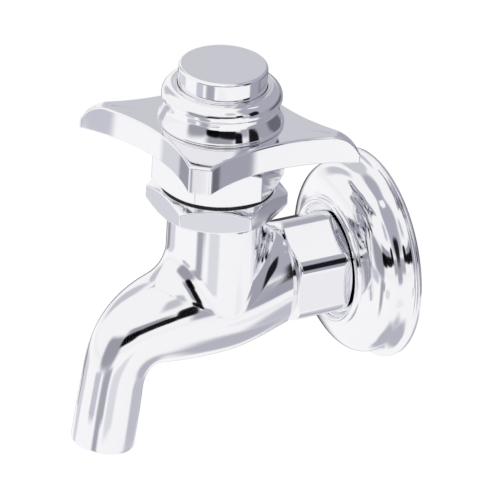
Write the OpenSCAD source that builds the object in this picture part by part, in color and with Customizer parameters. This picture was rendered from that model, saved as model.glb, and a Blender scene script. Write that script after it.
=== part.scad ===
// Push timed tap: a wall-mounted bib tap that a thumb button opens and a dashpot closes slowly.
// The inlet axis lies along Y at z = 0, the wall is the plane y = 0 and the spout points along -Y.
// Millimetres, +Z up.

/* [Layout] */
// Distance from the wall to the valve axis
reach = 46.3; // [44:0.1:60]
// Height of the underside of the body's hexagon above the inlet axis
neck_top = 23; // [21:0.1:30]
// Travel of the push button
travel = 4.5; // [3:0.1:6]

/* [Spout] */
// Radius of the waterway where it leaves the inlet collar
shoulder_r = 12.6; // [11.8:0.1:13]
// Radius of the waterway under the valve
belly_r = 13.2; // [12.6:0.1:14.5]
// Drop of the waterway's centre line under the valve
belly_drop = 4.9; // [3.5:0.1:7]
// Downward slope of the centre line under the valve, in degrees
belly_slope = 2.4; // [0:0.1:6]
// Distance from the valve axis to the end of the bend
bend_out = 28.1; // [26:0.1:40]
// Drop of the end of the bend below the inlet axis
bend_drop = 21.9; // [20:0.1:30]
// Forward lean of the outlet, in degrees
outlet_lean = 7; // [0:0.5:15]
// Length of the straight outlet after the bend
outlet_len = 17.2; // [10:0.1:30]
// Outside radius of the outlet
outlet_r = 8.2; // [7.6:0.1:9.5]
// Bore radius of the outlet
outlet_bore_r = 6.2; // [5.7:0.1:6.8]
// Radius of the cast blend in front of the neck
blend_front_r = 9.5; // [5:0.5:10]
// Radius of the cast blend behind the neck
blend_back_r = 3.5; // [2.5:0.5:5]
// Radius of the round neck under the body's hexagon
neck_r = 12.4; // [12:0.1:13.4]
// Width across flats of the body's hexagon
body_hex_af = 31.5; // [29:0.5:36]
// Height of the body's hexagon
body_hex_h = 6.6; // [5:0.1:10]

/* [Inlet] */
// Radius of the inlet thread, G 1/2
inlet_r = 10.4775; // [9.6:0.0005:10.6]
// Length of the inlet tail behind the wall plane
tail_len = 8; // [6:0.5:25]
// Radius of the undercut between the thread and the hexagon
undercut_r = 9.7; // [9:0.1:9.9]
// Distance that the thread reaches in front of the wall plane
thread_front = 4; // [2:0.5:6]
// Width across flats of the inlet hexagon
inlet_hex_af = 25; // [22:0.5:25.5]
// Length of the inlet hexagon
inlet_hex_len = 9.3; // [6:0.1:14]
// Width of the groove between the hexagon and the collar
groove_w = 0.6; // [0.3:0.1:1.5]
// Radius of the groove
groove_r = 12.2; // [11:0.1:12.4]
// Radius of the inlet collar
inlet_collar_r = 13.5; // [13.2:0.1:15]
// Length of the inlet collar
inlet_collar_len = 4.4; // [3:0.1:6]
// Radius of the inlet bore
inlet_bore_r = 6; // [4.5:0.1:6.4]
// Radius of the port from the inlet to the valve chamber
port_r = 3.2; // [2.2:0.1:3.4]

/* [Wall flange] */
// Radius of the flange's rim
flange_r = 27.5; // [26.5:0.1:40]
// Thickness of the rim's edge
flange_edge = 1; // [0.8:0.1:1.4]
// Radius of the dome at its foot
dome_r = 25.2; // [23:0.1:25.8]
// Height of the dome's foot above the wall
dome_foot = 4.6; // [3.5:0.1:5.5]
// Rise of the dome above its foot
dome_rise = 8.5; // [8:0.1:10]
// Fullness of the dome: 2 is an ellipse, more is squarer
dome_fullness = 2.8; // [2:0.1:3.5]
// Sheet thickness of the flange
flange_wall = 1.5; // [1:0.1:1.7]
// Distance from the wall to the seat that the inlet hexagon bears on
flange_seat = 10.2; // [9.6:0.1:10.8]
// Radius of the recess round the inlet hexagon
recess_r = 15; // [14.9:0.1:16]
// Radius of the rolled lip of the recess
recess_lip_r = 1; // [0.6:0.1:1.2]

/* [Bonnet] */
// Radius of the bonnet's thread
bonnet_r = 11; // [10.6:0.1:11.2]
// Width across flats of the bonnet's hexagon
bonnet_hex_af = 30; // [28:0.5:34]
// Height of the bonnet's hexagon
bonnet_hex_h = 10; // [7:0.1:14]
// Direction of one corner of the bonnet's hexagon, in degrees
bonnet_turn = 11; // [0:1:59]
// Radius of the neck that carries the grip and the button collar
bonnet_neck_r = 9.5; // [8.8:0.1:9.6]
// Bore radius of the timing cylinder
cylinder_r = 7.5; // [6.9:0.1:7.8]
// Bore radius round the guide bush
bush_bore_r = 4.5; // [3.9:0.1:5]
// Bore radius of the packing chamber
packing_r = 5.3; // [5.1:0.1:5.8]
// Thickness of the bonnet's gasket
gasket_t = 0.6; // [0.4:0.1:1]

/* [Finger grip] */
// Reach of the two long points
grip_long = 36.4; // [33:0.1:36.8]
// Reach of the two short points
grip_short = 28.2; // [24:0.1:32]
// Radius of the scalloped sides
scallop_r = 46.5; // [43:0.5:50]
// Distance from the axis to the middle of a scallop
grip_waist = 18.4; // [18:0.1:21]
// Height of the skirt of the grip
grip_skirt = 7.5; // [7.3:0.1:10]
// Radius of the rounded ends of the long points
grip_round = 7.2; // [5:0.1:7.2]
// Wall of the grip
grip_wall = 2; // [1.2:0.1:2.8]
// Radius of the hub inside the grip
hub_r = 13; // [11.5:0.1:13.4]
// Direction of a long point, in degrees
grip_turn = 51; // [0:1:90]

/* [Button and collar] */
// Radius of the collar's foot
collar_foot_r = 16.2; // [15.6:0.1:18]
// Radius of the collar's band
collar_band_r = 15; // [14.6:0.1:15.4]
// Thickness of the collar's web
collar_web = 2.3; // [1.5:0.1:3]
// Radius of the spigot that the retaining ring screws on to
spigot_r = 13.8; // [13.6:0.1:14.2]
// Height of the spigot
spigot_h = 2.4; // [2:0.1:4]
// Radius of the cavity in the collar
cavity_r = 12.6; // [12.4:0.1:12.9]
// Outside radius of the retaining ring
ring_r = 15.5; // [15.2:0.1:18]
// Thickness of the retaining ring's lip
ring_lip = 1.7; // [1.2:0.1:2.5]
// Width of the retaining ring's rounded shoulder
ring_shoulder_w = 3; // [2:0.1:3.2]
// Height of the retaining ring's rounded shoulder
ring_shoulder_h = 3.2; // [2:0.1:3.4]
// Radius of the push button
button_r = 11.5; // [11:0.05:11.8]
// Height of the button above the underside of the retaining lip
button_stand = 6.9; // [6.5:0.1:12]
// Thickness of the button's top
button_top_t = 2.2; // [1.8:0.1:3]
// Wall of the button's skirt
button_wall = 1.75; // [1:0.05:1.85]
// Radius of the button's top edge
button_round = 1.2; // [0.4:0.1:1.6]
// Thickness of the button's flange
button_flange_t = 1.3; // [1:0.1:2]

/* [Stem train] */
// Radius of the stem
stem_r = 2.5; // [2:0.05:2.8]
// Radius of the stem's shoulders
stem_shoulder_r = 3.4; // [3.2:0.1:4.2]
// Width across flats of the stem's nuts
nut_af = 8; // [7:0.5:9]
// Height of the piston nut and the disc nut
nut_h = 2.9; // [2:0.1:4]
// Height of the button's lock nut
locknut_h = 1.8; // [1.4:0.1:1.9]
// Thickness of the piston
piston_h = 2.6; // [1.8:0.1:4]
// Thickness of the cup's base
cup_base = 1.6; // [1:0.1:2]
// Height of the cup's lip above its base
cup_lip = 1.8; // [1.2:0.1:2.2]
// Thickness of the cup's lip
cup_lip_t = 1.2; // [0.8:0.1:1.5]
// Thickness of the follower inside the cup
follower_h = 2.4; // [2.3:0.1:3]
// Radius of the valve disc
disc_r = 6.2; // [5.8:0.1:6.3]
// Thickness of the valve disc
disc_t = 2.1; // [1.6:0.1:3]
// Thickness of the disc holder's floor
holder_floor = 2.4; // [1.4:0.1:3]
// Height of the disc holder's rim round the disc
holder_rim = 1.4; // [0.8:0.1:1.5]

/* [Valve cage] */
// Bore radius of the seat
seat_r = 4.5; // [4.3:0.1:4.8]
// Thickness of the seat's lip
seat_lip_t = 0.8; // [0.5:0.1:0.9]
// Drop of the seat's lip below the cage
seat_lip_drop = 0.8; // [0.7:0.1:1.2]
// Height of the cage
cage_h = 16.4; // [15:0.1:18]
// Outside radius of the cage's wall
cage_r = 9; // [8.8:0.1:9.2]
// Wall of the cage
cage_wall = 1.8; // [1.2:0.1:2]
// Thickness of the cage's lower flange
cage_foot = 1.8; // [1.4:0.1:2.4]
// Thickness of the cage's upper flange
cage_head = 1.6; // [1.2:0.1:2]
// Number of windows in the cage
window_count = 6; // [4:1:8]
// Radius of a window
window_r = 2.2; // [1.4:0.1:2.4]

/* [Spring] */
// Wire diameter of the return spring
wire_d = 1; // [0.6:0.1:1.1]
// Mean radius of the return spring
spring_r = 8; // [7.8:0.1:8.4]
// Turns of the return spring
spring_turns = 4.25; // [3:0.25:4.5]

/* [Clearances] */
// Radial clearance of a screwed or slipped joint
fit = 0.1; // [0.05:0.01:0.12]
// Radial clearance of a sliding joint
slide = 0.05; // [0.03:0.01:0.08]
// Clearance between a moving piece and its end stop
stop_gap = 0.3; // [0.2:0.05:0.5]
// Clearance between the seat and the closed valve disc
seat_gap = 0.1; // [0.05:0.01:0.2]

/* [Hidden] */
$fn = 96;

chrome = [0.84, 0.85, 0.87];
brass = [0.78, 0.62, 0.32];
rubber = [0.12, 0.12, 0.13];
steel = [0.66, 0.67, 0.69];
nylon = [0.93, 0.92, 0.88];
fibre = [0.55, 0.27, 0.2];

// Heights along the valve axis, from the valve seat up to the button
step_z = -1;
cage_z = step_z + gasket_t;
cage_top = cage_z + cage_h;
body_top = neck_top + body_hex_h;
bonnet_z = body_top + gasket_t;
bonnet_top = bonnet_z + bonnet_hex_h;
hub_foot = 0.4;
grip_z = bonnet_top + hub_foot;
grip_top = grip_z + grip_skirt;
web_top = grip_top + collar_web;
flange_low = web_top + stop_gap + travel + fit;
flange_high = flange_low + button_flange_t;
lip_z = flange_high + stop_gap;
spigot_top = lip_z - fit;
band_top = spigot_top - spigot_h;
ring_top = lip_z + ring_lip;
button_top = lip_z + button_stand;
button_ceiling = button_top - button_top_t;
boss_h = 2;
boss_z = button_ceiling - boss_h;
neck_stand = 0.6;
bonnet_neck_top = web_top + neck_stand;

// Guide bush, packing and gland, from the timing cylinder's roof up
bush_above_hex = 0.8;
bush_h = 4.5;
bush_flange_t = 0.8;
packing_z = bonnet_top + bush_above_hex;
bush_z = packing_z - bush_h;
oring_wire_r = 1.2;
oring_z = packing_z + bush_flange_t + oring_wire_r + slide;
gland_washer_t = 0.8;
gland_washer_z = oring_z + oring_wire_r + slide;
gland_z = gland_washer_z + gland_washer_t;
gland_hex_af = 11.5;
gland_hex_h = 2.2;
spring_washer_t = 0.6;
spring_washer_r = bonnet_neck_r - fit;
spring_washer_z = bonnet_neck_top;
spring_z = spring_washer_z + spring_washer_t;

// Stem train, from the valve seat down and from the timing cylinder's roof down
seat_z = cage_z - seat_lip_drop;
disc_top = seat_z - seat_gap;
disc_z = disc_top - disc_t;
holder_z = disc_z - holder_floor;
holder_wall = 0.6;
holder_r = disc_r + fit + holder_wall;
disc_nut_z = holder_z - nut_h;
stem_tail = 0.6;
stem_z = disc_nut_z - stem_tail;
chamber_r = holder_r + 2 * stop_gap;
chamber_z = stem_z - travel - 3 * stop_gap;
stem_shoulder_h = 0.5;
shoulder_z = bush_z - stop_gap - stem_shoulder_h;
follower_z = shoulder_z - follower_h;
cup_z = follower_z - cup_base;
piston_z = cup_z - piston_h;
piston_nut_z = piston_z - nut_h;
piston_r = cylinder_r - 1.6 * slide;
bleed_r = 0.4;
locknut_z = boss_z - locknut_h;
stem_hole = stem_r + slide;
stem_top_in_boss = 0.8;
stem_top = button_ceiling + stem_top_in_boss;

// Body bores
socket_r = bonnet_r + fit;
socket_floor_gap = 0.4;
socket_z = cage_top - cage_head - socket_floor_gap;
socket_step = 0.5;
annulus_r = socket_r - socket_step;
cage_foot_r = annulus_r - stop_gap;
cage_head_r = socket_r - 2 * fit;

// Inlet, as distances in front of the wall
hex_front = flange_seat + inlet_hex_len;
groove_front = hex_front + groove_w;
collar_front = groove_front + inlet_collar_len;
overlap = 1.5;
strainer_r = inlet_bore_r + 1.2;
strainer_t = 0.7;
strainer_washer_t = 1.4;
strainer_depth = 2.5;
strainer_y = tail_len - strainer_depth;
strainer_hole_r = 0.7;
strainer_pitch = 0.4 * inlet_bore_r;

// Centre line of the waterway as [forward of the valve axis, height]
outlet_dir = [sin(outlet_lean), -cos(outlet_lean)];
shoulder_point = [collar_front - overlap - reach, 0];
shoulder_pull = 8;
belly_point = [0, -belly_drop];
belly_dir = [cos(belly_slope), -sin(belly_slope)];
belly_back_pull = 8;
belly_pull = 16.8;
bend_point = [bend_out, -bend_drop];
bend_pull = 15.5;
outlet_end = bend_point + outlet_len * outlet_dir;
back_curve = [
    shoulder_point,
    shoulder_point + [shoulder_pull, 0],
    belly_point - belly_back_pull * belly_dir,
    belly_point
];
front_curve = [
    belly_point,
    belly_point + belly_pull * belly_dir,
    bend_point - bend_pull * outlet_dir,
    bend_point
];
bend_r = outlet_r - 0.2;
bend_taper = 1.8;
back_steps = 8;
front_steps = 22;

// Outlet passage from the cage's annulus down into the outlet bore
passage_start = [8.5, 4.5];
passage_curve = [passage_start, [15.5, -4], [bend_out - 1.3, -5.5], bend_point];
passage_r = [3, outlet_bore_r - 0.6];
passage_steps = 14;

function bezier(c, t) =
    pow(1 - t, 3) * c[0] + 3 * t * pow(1 - t, 2) * c[1] + 3 * t * t * (1 - t) * c[2] + pow(t, 3) * c[3];
function slope(c, t) =
    let (d = pow(1 - t, 2) * (c[1] - c[0]) + 2 * t * (1 - t) * (c[2] - c[1]) + t * t * (c[3] - c[2]))
    d / norm(d);
function quad(a, b, c, n) =
    [for (i = [0:n]) let (t = i / n) (1 - t) * (1 - t) * a + 2 * t * (1 - t) * b + t * t * c];
function arc(centre, r, from, to, n) =
    [for (i = [0:n]) let (a = from + (to - from) * i / n) centre + r * [cos(a), sin(a)]];

// A station of a tube is [centre, direction, radius]
function back_radius(t) = shoulder_r + (belly_r - shoulder_r) * sin(90 * t);
function front_radius(t) = bend_r + (belly_r - bend_r) * pow(cos(90 * t), bend_taper);
function end_station(by, r) = [bend_point + by * outlet_dir, outlet_dir, r];
waterway = concat(
    [for (i = [0:back_steps - 1]) let (t = i / back_steps)
        [bezier(back_curve, t), slope(back_curve, t), back_radius(t)]],
    [for (i = [0:front_steps]) let (t = i / front_steps)
        [bezier(front_curve, t), slope(front_curve, t), front_radius(t)]],
    [end_station(2 * overlap, bend_r)]
);
passage = concat(
    [for (i = [0:passage_steps]) let (t = i / passage_steps)
        let (r = passage_r[0] + (passage_r[1] - passage_r[0]) * t)
        [bezier(passage_curve, t), slope(passage_curve, t), r]],
    [end_station(2.5 * overlap, passage_r[1])]
);
function place(point, side) = [side, -reach - point[0], point[1]];
function station_ring(s, n) =
    [for (j = [0:n - 1]) let (a = 360 * j / n, up = s[2] * sin(a))
        place(s[0] + up * [-s[1][1], s[1][0]], s[2] * cos(a))];

// Tube through a list of stations, closed at both ends
module tube(stations, n) {
    last = (len(stations) - 1) * n;
    polyhedron(
        [for (s = stations) each station_ring(s, n)],
        concat(
            [[for (j = [0:n - 1]) j]],
            [for (i = [0:n:last - n], j = [0:n - 1]) [i + j, i + n + j, i + n + (j + 1) % n]],
            [for (i = [0:n:last - n], j = [0:n - 1]) [i + j, i + n + (j + 1) % n, i + (j + 1) % n]],
            [[for (j = [n - 1:-1:0]) last + j]]
        ),
        convexity = 6
    );
}

// Cast blend: a ball rolls round the corner between the neck and the waterway, touching both.
// It leaves the arc between the two touching points, sunk a little into both.
blend_columns = 48;
blend_rows = 6;
blend_sink = 0.3;
fine_path = concat(
    [for (i = [0:19]) let (t = i / 20) [bezier(back_curve, t), back_radius(t)]],
    [for (i = [0:40]) let (t = i / 40) [bezier(front_curve, t), front_radius(t)]]
);
function nearest(q) =
    let (d = [for (s = fine_path) norm(s[0] - q)])
    fine_path[search(min(d), d)[0]];
function clear_of_tube(x, q) = let (s = nearest(q)) norm([x, norm(q - s[0])]) - s[1];
function ball_r(a) = (blend_front_r + blend_back_r + (blend_front_r - blend_back_r) * sin(a)) / 2;
function ball_height(r, x, f, low, high, tries) =
    let (mid = (low + high) / 2)
    tries == 0 ? mid
    : clear_of_tube(x, [f, mid]) > r ? ball_height(r, x, f, low, mid, tries - 1)
    : ball_height(r, x, f, mid, high, tries - 1);
function blend_column(a) =
    let (
        r = ball_r(a),
        out = neck_r + r,
        x = out * cos(a),
        f = out * sin(a),
        q = [f, ball_height(r, x, f, -belly_drop, neck_top, 16)],
        to_tube = nearest(q)[0] - q,
        from = [-cos(a), -sin(a), 0],
        to = [-x, to_tube[0], to_tube[1]] / norm([x, to_tube[0], to_tube[1]]),
        turn = acos(from * to)
    )
    [for (k = [0:blend_rows]) let (t = k / blend_rows)
        let (d = (from * sin((1 - t) * turn) + to * sin(t * turn)) / sin(turn))
        let (v = [x, q[0], q[1]] + (r + blend_sink) * d)
        place([v[1], v[2]], v[0])];
module cast_blend() {
    n = blend_columns;
    columns = [for (j = [0:n - 1]) blend_column(360 * j / n)];
    last = blend_rows * n;
    polyhedron(
        concat(
            [for (k = [0:blend_rows], j = [0:n - 1]) columns[j][k]],
            [place([0, neck_top / 6], 0), place([0, -belly_drop], 0)]
        ),
        concat(
            [for (i = [0:n:last - n], j = [0:n - 1]) [i + j, i + n + (j + 1) % n, i + (j + 1) % n]],
            [for (i = [0:n:last - n], j = [0:n - 1]) [i + j, i + n + j, i + n + (j + 1) % n]],
            [for (j = [0:n - 1]) [last + n, j, (j + 1) % n]],
            [for (j = [0:n - 1]) [last + n + 1, last + (j + 1) % n, last + j]]
        ),
        convexity = 6
    );
}

// Placing on the valve axis, along the inlet axis, and along the outlet
module on_valve() {
    translate([0, -reach, 0]) children();
}
module along_inlet(front) {
    translate([0, -front, 0]) rotate([-90, 0, 0]) children();
}
module along_outlet(by) {
    translate(place(bend_point + by * outlet_dir, 0)) rotate([180 - outlet_lean, 0, 0]) children();
}

// Plain turned ring between two heights
module turned(r_in, r_out, low, high) {
    rotate_extrude() translate([r_in, low]) square([r_out - r_in, high - low]);
}

// Hexagon bar with both ends chamfered, one corner on +X
module hexagon(af, low, high) {
    corner = af / 2 / cos(30);
    face_r = af / 2 * 0.97;
    drop = (corner - face_r) * tan(30);
    intersection() {
        translate([0, 0, low]) cylinder(r = corner, h = high - low, $fn = 6);
        rotate_extrude() polygon([
            [0, low], [face_r, low], [corner + fit, low + drop + fit * tan(30)],
            [corner + fit, high - drop - fit * tan(30)], [face_r, high], [0, high]
        ]);
    }
}

module nut(af, low, high) {
    difference() {
        hexagon(af, low, high);
        translate([0, 0, low - 1]) cylinder(r = stem_hole, h = high - low + 2);
    }
}

// Cast body: waterway, neck and hexagon over the valve, and the threaded inlet
module spout_body() {
    color(chrome) difference() {
        union() {
            tube(waterway, 32);
            cast_blend();
            along_outlet(overlap) cylinder(r = outlet_r, h = outlet_len - overlap);
            on_valve() {
                translate([0, 0, -belly_drop]) cylinder(r = neck_r, h = neck_top + belly_drop + 1);
                hexagon(body_hex_af, neck_top, body_top);
            }
            inlet_union();
        }
        on_valve() {
            turned(0, socket_r, socket_z, body_top + 1);
            turned(0, annulus_r, step_z, socket_z + 1);
            turned(0, chamber_r, chamber_z, step_z + 1);
        }
        inlet_bores();
        tube(passage, 16);
        along_outlet(overlap) cylinder(r = outlet_bore_r, h = outlet_len);
    }
}

module inlet_union() {
    along_inlet(collar_front) cylinder(r = inlet_collar_r, h = inlet_collar_len);
    along_inlet(groove_front + overlap) cylinder(r = groove_r, h = groove_w + 2 * overlap);
    along_inlet(0) rotate([0, 0, 30]) hexagon(inlet_hex_af, -hex_front, -flange_seat);
    undercut_len = flange_seat - thread_front;
    along_inlet(flange_seat + overlap) cylinder(r = undercut_r, h = undercut_len + 2 * overlap);
    along_inlet(0) rotate_extrude() polygon([
        [0, -thread_front], [inlet_r, -thread_front],
        [inlet_r, tail_len - 1], [inlet_r - 1, tail_len], [0, tail_len]
    ]);
}

module inlet_bores() {
    chamber_wall = 3.4;
    bore_end = reach - annulus_r - chamber_wall;
    port_back = 3;
    port_drop = 2;
    port_run = [14, 7.6];
    along_inlet(bore_end) cylinder(r = inlet_bore_r, h = bore_end + tail_len + 1);
    along_inlet(-strainer_y) cylinder(r = strainer_r + fit, h = strainer_depth + 1);
    translate([0, port_back - bore_end, -port_drop])
        rotate([90 + atan2(port_run[1], port_run[0]), 0, 0])
        cylinder(r = port_r, h = norm(port_run));
}

// Domed wall flange with a recess for the inlet hexagon
module wall_flange() {
    inner_dome_r = dome_r - flange_wall;
    inner_rise = dome_rise - flange_wall;
    recess_back_r = recess_r + flange_wall;
    lip_out = recess_r + 2 * recess_lip_r;
    lip_part = pow((recess_r + recess_lip_r) / dome_r, dome_fullness);
    lip_w = dome_foot + dome_rise * pow(1 - lip_part, 1 / dome_fullness);
    power = 2 / dome_fullness;
    steps = 16;
    color(chrome) along_inlet(0) mirror([0, 0, 1]) rotate_extrude() polygon(concat(
        [[flange_r, 0]],
        quad([flange_r, flange_edge], [dome_r + 0.2, flange_edge + 0.4], [dome_r, dome_foot], 6),
        [for (i = [1:steps]) let (a = acos(pow(lip_out / dome_r, 1 / power)) * i / steps)
            [dome_r * pow(cos(a), power), dome_foot + dome_rise * pow(sin(a), power)]],
        arc([recess_r + recess_lip_r, lip_w], recess_lip_r, 0, 180, 8),
        [[recess_r, flange_seat], [inlet_r + 2 * fit, flange_seat]],
        [[inlet_r + 2 * fit, flange_seat - flange_wall], [recess_back_r, flange_seat - flange_wall]],
        [for (i = [steps:-1:1]) let (a = acos(pow(recess_back_r / inner_dome_r, 1 / power)) * i / steps)
            [inner_dome_r * pow(cos(a), power), dome_foot + inner_rise * pow(sin(a), power)]],
        quad([inner_dome_r, dome_foot], [inner_dome_r + 0.2, 0.5], [flange_r - flange_wall, 0], 6)
    ));
}

// Perforated strainer in the end of the inlet tail
module inlet_strainer() {
    color(steel) along_inlet(-strainer_y) difference() {
        cylinder(r = strainer_r, h = strainer_t);
        for (row = [0:2], i = [0:max(1, 6 * row) - 1])
            rotate([0, 0, 360 * i / max(1, 6 * row)])
            translate([row * strainer_pitch, 0, -1])
            cylinder(r = strainer_hole_r, h = strainer_t + 2, $fn = 24);
    }
}

module strainer_washer() {
    low = strainer_y + strainer_t;
    color(rubber) along_inlet(0) turned(inlet_bore_r - fit, strainer_r, low, low + strainer_washer_t);
}

// Cage with the valve seat below and windows to the outlet
module valve_cage() {
    window_z = cage_z + cage_foot + (cage_h - cage_foot - cage_head) * 0.35;
    color(brass) on_valve() difference() {
        union() {
            turned(seat_r, seat_r + seat_lip_t, seat_z, cage_z + cage_foot / 2);
            turned(seat_r, cage_foot_r, cage_z, cage_z + cage_foot);
            turned(cage_r - cage_wall, cage_r, cage_z + cage_foot / 2, cage_top);
            turned(cage_r - cage_wall, cage_head_r, cage_top - cage_head, cage_top);
        }
        for (i = [0:window_count - 1])
            rotate([0, 0, (i + 0.5) * 360 / window_count])
            translate([cage_r - 2 * cage_wall, 0, window_z])
            rotate([0, 90, 0]) cylinder(r = window_r, h = 3 * cage_wall);
    }
}

module cage_gasket() {
    color(fibre) on_valve() turned(chamber_r + 2 * fit, cage_foot_r, step_z, cage_z);
}

// Screwed bonnet: timing cylinder below, packing chamber above
module bonnet() {
    color(chrome) on_valve() difference() {
        union() {
            turned(0, bonnet_r, cage_top, bonnet_z + 1);
            rotate([0, 0, bonnet_turn]) hexagon(bonnet_hex_af, bonnet_z, bonnet_top);
            turned(0, bonnet_neck_r, bonnet_top - 1, bonnet_neck_top);
        }
        turned(0, cylinder_r, cage_top - 1, bush_z);
        turned(0, bush_bore_r, bush_z - 1, packing_z + 1);
        turned(0, packing_r, packing_z, bonnet_neck_top + 1);
    }
}

module bonnet_gasket() {
    color(rubber) on_valve() turned(bonnet_r + 3 * fit, bonnet_hex_af / 2 - 0.4, body_top, bonnet_z);
}

// Flanged bush that guides the stem
module guide_bush() {
    color(nylon) on_valve() {
        rotate_extrude() polygon([
            [stem_hole, bush_z], [bush_bore_r - slide, bush_z], [bush_bore_r - slide, packing_z],
            [packing_r - fit, packing_z], [packing_r - fit, packing_z + bush_flange_t],
            [stem_hole, packing_z + bush_flange_t]
        ]);
    }
}

module stem_oring() {
    color(rubber) on_valve() translate([0, 0, oring_z])
        rotate_extrude() translate([stem_hole + oring_wire_r, 0]) circle(r = oring_wire_r);
}

module gland_washer() {
    color(brass) on_valve() turned(stem_r + 2 * fit, packing_r - fit, gland_washer_z, gland_z);
}

// Gland nut that closes the packing chamber
module gland_nut() {
    color(brass) on_valve() difference() {
        union() {
            turned(0, packing_r - fit, gland_z, bonnet_neck_top + 1);
            hexagon(gland_hex_af, bonnet_neck_top, bonnet_neck_top + gland_hex_h);
        }
        turned(0, stem_r + 2 * fit, gland_z - 1, bonnet_neck_top + gland_hex_h + 1);
    }
}

// Four-pointed finger grip: scalloped plan, long points rounded down, hollow underside
module grip_plan(inset) {
    centre = (grip_waist + scallop_r) / sqrt(2);
    difference() {
        square([2 * (grip_long - inset), 2 * (grip_short - inset)], center = true);
        for (x = [-1, 1], y = [-1, 1]) translate([x * centre, y * centre]) circle(r = scallop_r + inset);
    }
}

module grip_form(inset, low) {
    flat = grip_long - grip_round;
    base = grip_top - grip_round;
    r = grip_round - inset;
    intersection() {
        translate([0, 0, low]) linear_extrude(grip_top - low) grip_plan(inset);
        rotate([90, 0, 0]) linear_extrude(3 * grip_short, center = true) polygon(concat(
            [[flat + r, low]],
            arc([flat, base], r, 0, 90, 10),
            arc([-flat, base], r, 90, 180, 10),
            [[-flat - r, low]]
        ));
    }
}

module wing_grip() {
    color(chrome) on_valve() rotate([0, 0, grip_turn]) difference() {
        union() {
            difference() {
                grip_form(0, grip_z);
                grip_form(grip_wall, grip_z - 1);
            }
            turned(0, hub_r, bonnet_top, grip_top - grip_wall / 2);
        }
        turned(0, bonnet_neck_r + fit, bonnet_top - 1, grip_top + 1);
    }
}

// Flared collar that clamps the grip and guides the button's flange
module collar() {
    foot_h = 0.9;
    flare_h = 2.9;
    color(chrome) on_valve() rotate_extrude() polygon(concat(
        [[bonnet_neck_r + fit, grip_top], [collar_foot_r, grip_top]],
        quad(
            [collar_foot_r, grip_top + foot_h],
            [collar_band_r, grip_top + foot_h + 0.3],
            [collar_band_r, grip_top + flare_h],
            6
        ),
        [[collar_band_r, band_top], [spigot_r, band_top], [spigot_r, spigot_top], [cavity_r, spigot_top]],
        [[cavity_r, web_top], [bonnet_neck_r + fit, web_top]]
    ));
}

// Retaining ring: screws on to the collar and holds the button's flange down
module retaining_ring() {
    joint_gap = 0.2;
    color(chrome) on_valve() rotate_extrude() polygon(concat(
        [[spigot_r + fit, band_top + joint_gap], [ring_r, band_top + joint_gap]],
        [for (a = [0:9:90])
            [ring_r - ring_shoulder_w * (1 - cos(a)), ring_top - ring_shoulder_h * (1 - sin(a))]],
        [[button_r + fit, ring_top], [button_r + fit, lip_z], [spigot_r + fit, lip_z]]
    ));
}

module spring_washer() {
    gland_corner = gland_hex_af / 2 / cos(30);
    color(steel) on_valve() turned(gland_corner + 2.5 * fit, spring_washer_r, spring_washer_z, spring_z);
}

// Return spring: one open helix between the washer and the button's ceiling
spring_rings = 8;
spring_sides = 6;
spring_low = spring_z + wire_d / 2 + slide;
spring_high = button_ceiling - wire_d / 2 - slide;
spring_count = round(spring_turns * spring_rings);
function spring_point(i) =
    let (a = 360 * i / spring_rings)
    [spring_r * cos(a), spring_r * sin(a), spring_low + (spring_high - spring_low) * i / spring_count];
function wire_ring(i) =
    let (c = spring_point(i), a = 360 * i / spring_rings)
    [for (j = [0:spring_sides - 1]) let (b = 360 * j / spring_sides, out = wire_d / 2 * cos(b))
        c + [out * cos(a), out * sin(a), wire_d / 2 * sin(b)]];
spring_self_gap = min([
    for (i = [0:spring_count], j = [0:spring_count])
        if (j - i >= spring_rings / 2) norm(spring_point(j) - spring_point(i)) - wire_d
]);
echo(least_gap_between_spring_turns = spring_self_gap);

module return_spring() {
    n = spring_sides;
    last = spring_count * n;
    color(steel) on_valve() polyhedron(
        [for (i = [0:spring_count]) each wire_ring(i)],
        concat(
            [[for (j = [n - 1:-1:0]) j]],
            [for (i = [0:n:last - n], j = [0:n - 1]) [i + j, i + (j + 1) % n, i + n + (j + 1) % n]],
            [for (i = [0:n:last - n], j = [0:n - 1]) [i + j, i + n + (j + 1) % n, i + n + j]],
            [[for (j = [0:n - 1]) last + j]]
        ),
        convexity = 10
    );
}

// Hollow push button with a stop flange and a boss for the stem
module push_button() {
    flange_out = cavity_r - stop_gap;
    inner_r = button_r - button_wall;
    boss_r = stem_r + 1.9;
    color(chrome) on_valve() difference() {
        rotate_extrude() polygon(concat(
            [[inner_r, flange_low], [flange_out, flange_low]],
            [[flange_out, flange_high], [button_r, flange_high]],
            arc([button_r - button_round, button_top - button_round], button_round, 0, 90, 8),
            [[0, button_top], [0, boss_z], [boss_r, boss_z]],
            [[boss_r, button_ceiling], [inner_r, button_ceiling]]
        ));
        turned(0, stem_hole, boss_z - 1, stem_top + 2 * fit);
    }
}

module button_locknut() {
    color(brass) on_valve() nut(nut_af, locknut_z, boss_z);
}

// Stem with a shoulder above the piston and one above the valve disc
module stem() {
    color(steel) on_valve() {
        rotate_extrude() polygon([
            [0, stem_z], [stem_r, stem_z], [stem_r, disc_top], [stem_shoulder_r, disc_top],
            [stem_shoulder_r, disc_top + stem_shoulder_h], [stem_r, disc_top + stem_shoulder_h],
            [stem_r, shoulder_z], [stem_shoulder_r, shoulder_z],
            [stem_shoulder_r, shoulder_z + stem_shoulder_h], [stem_r, shoulder_z + stem_shoulder_h],
            [stem_r, stem_top], [0, stem_top]
        ]);
    }
}

module cup_follower() {
    color(brass) on_valve() turned(stem_hole, piston_r - cup_lip_t - 0.5, follower_z, shoulder_z);
}

// Small notch that lets the timing cylinder drain slowly
module bleed(low, high) {
    translate([piston_r, 0, low - 1]) cylinder(r = bleed_r, h = high - low + 2);
}

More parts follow.
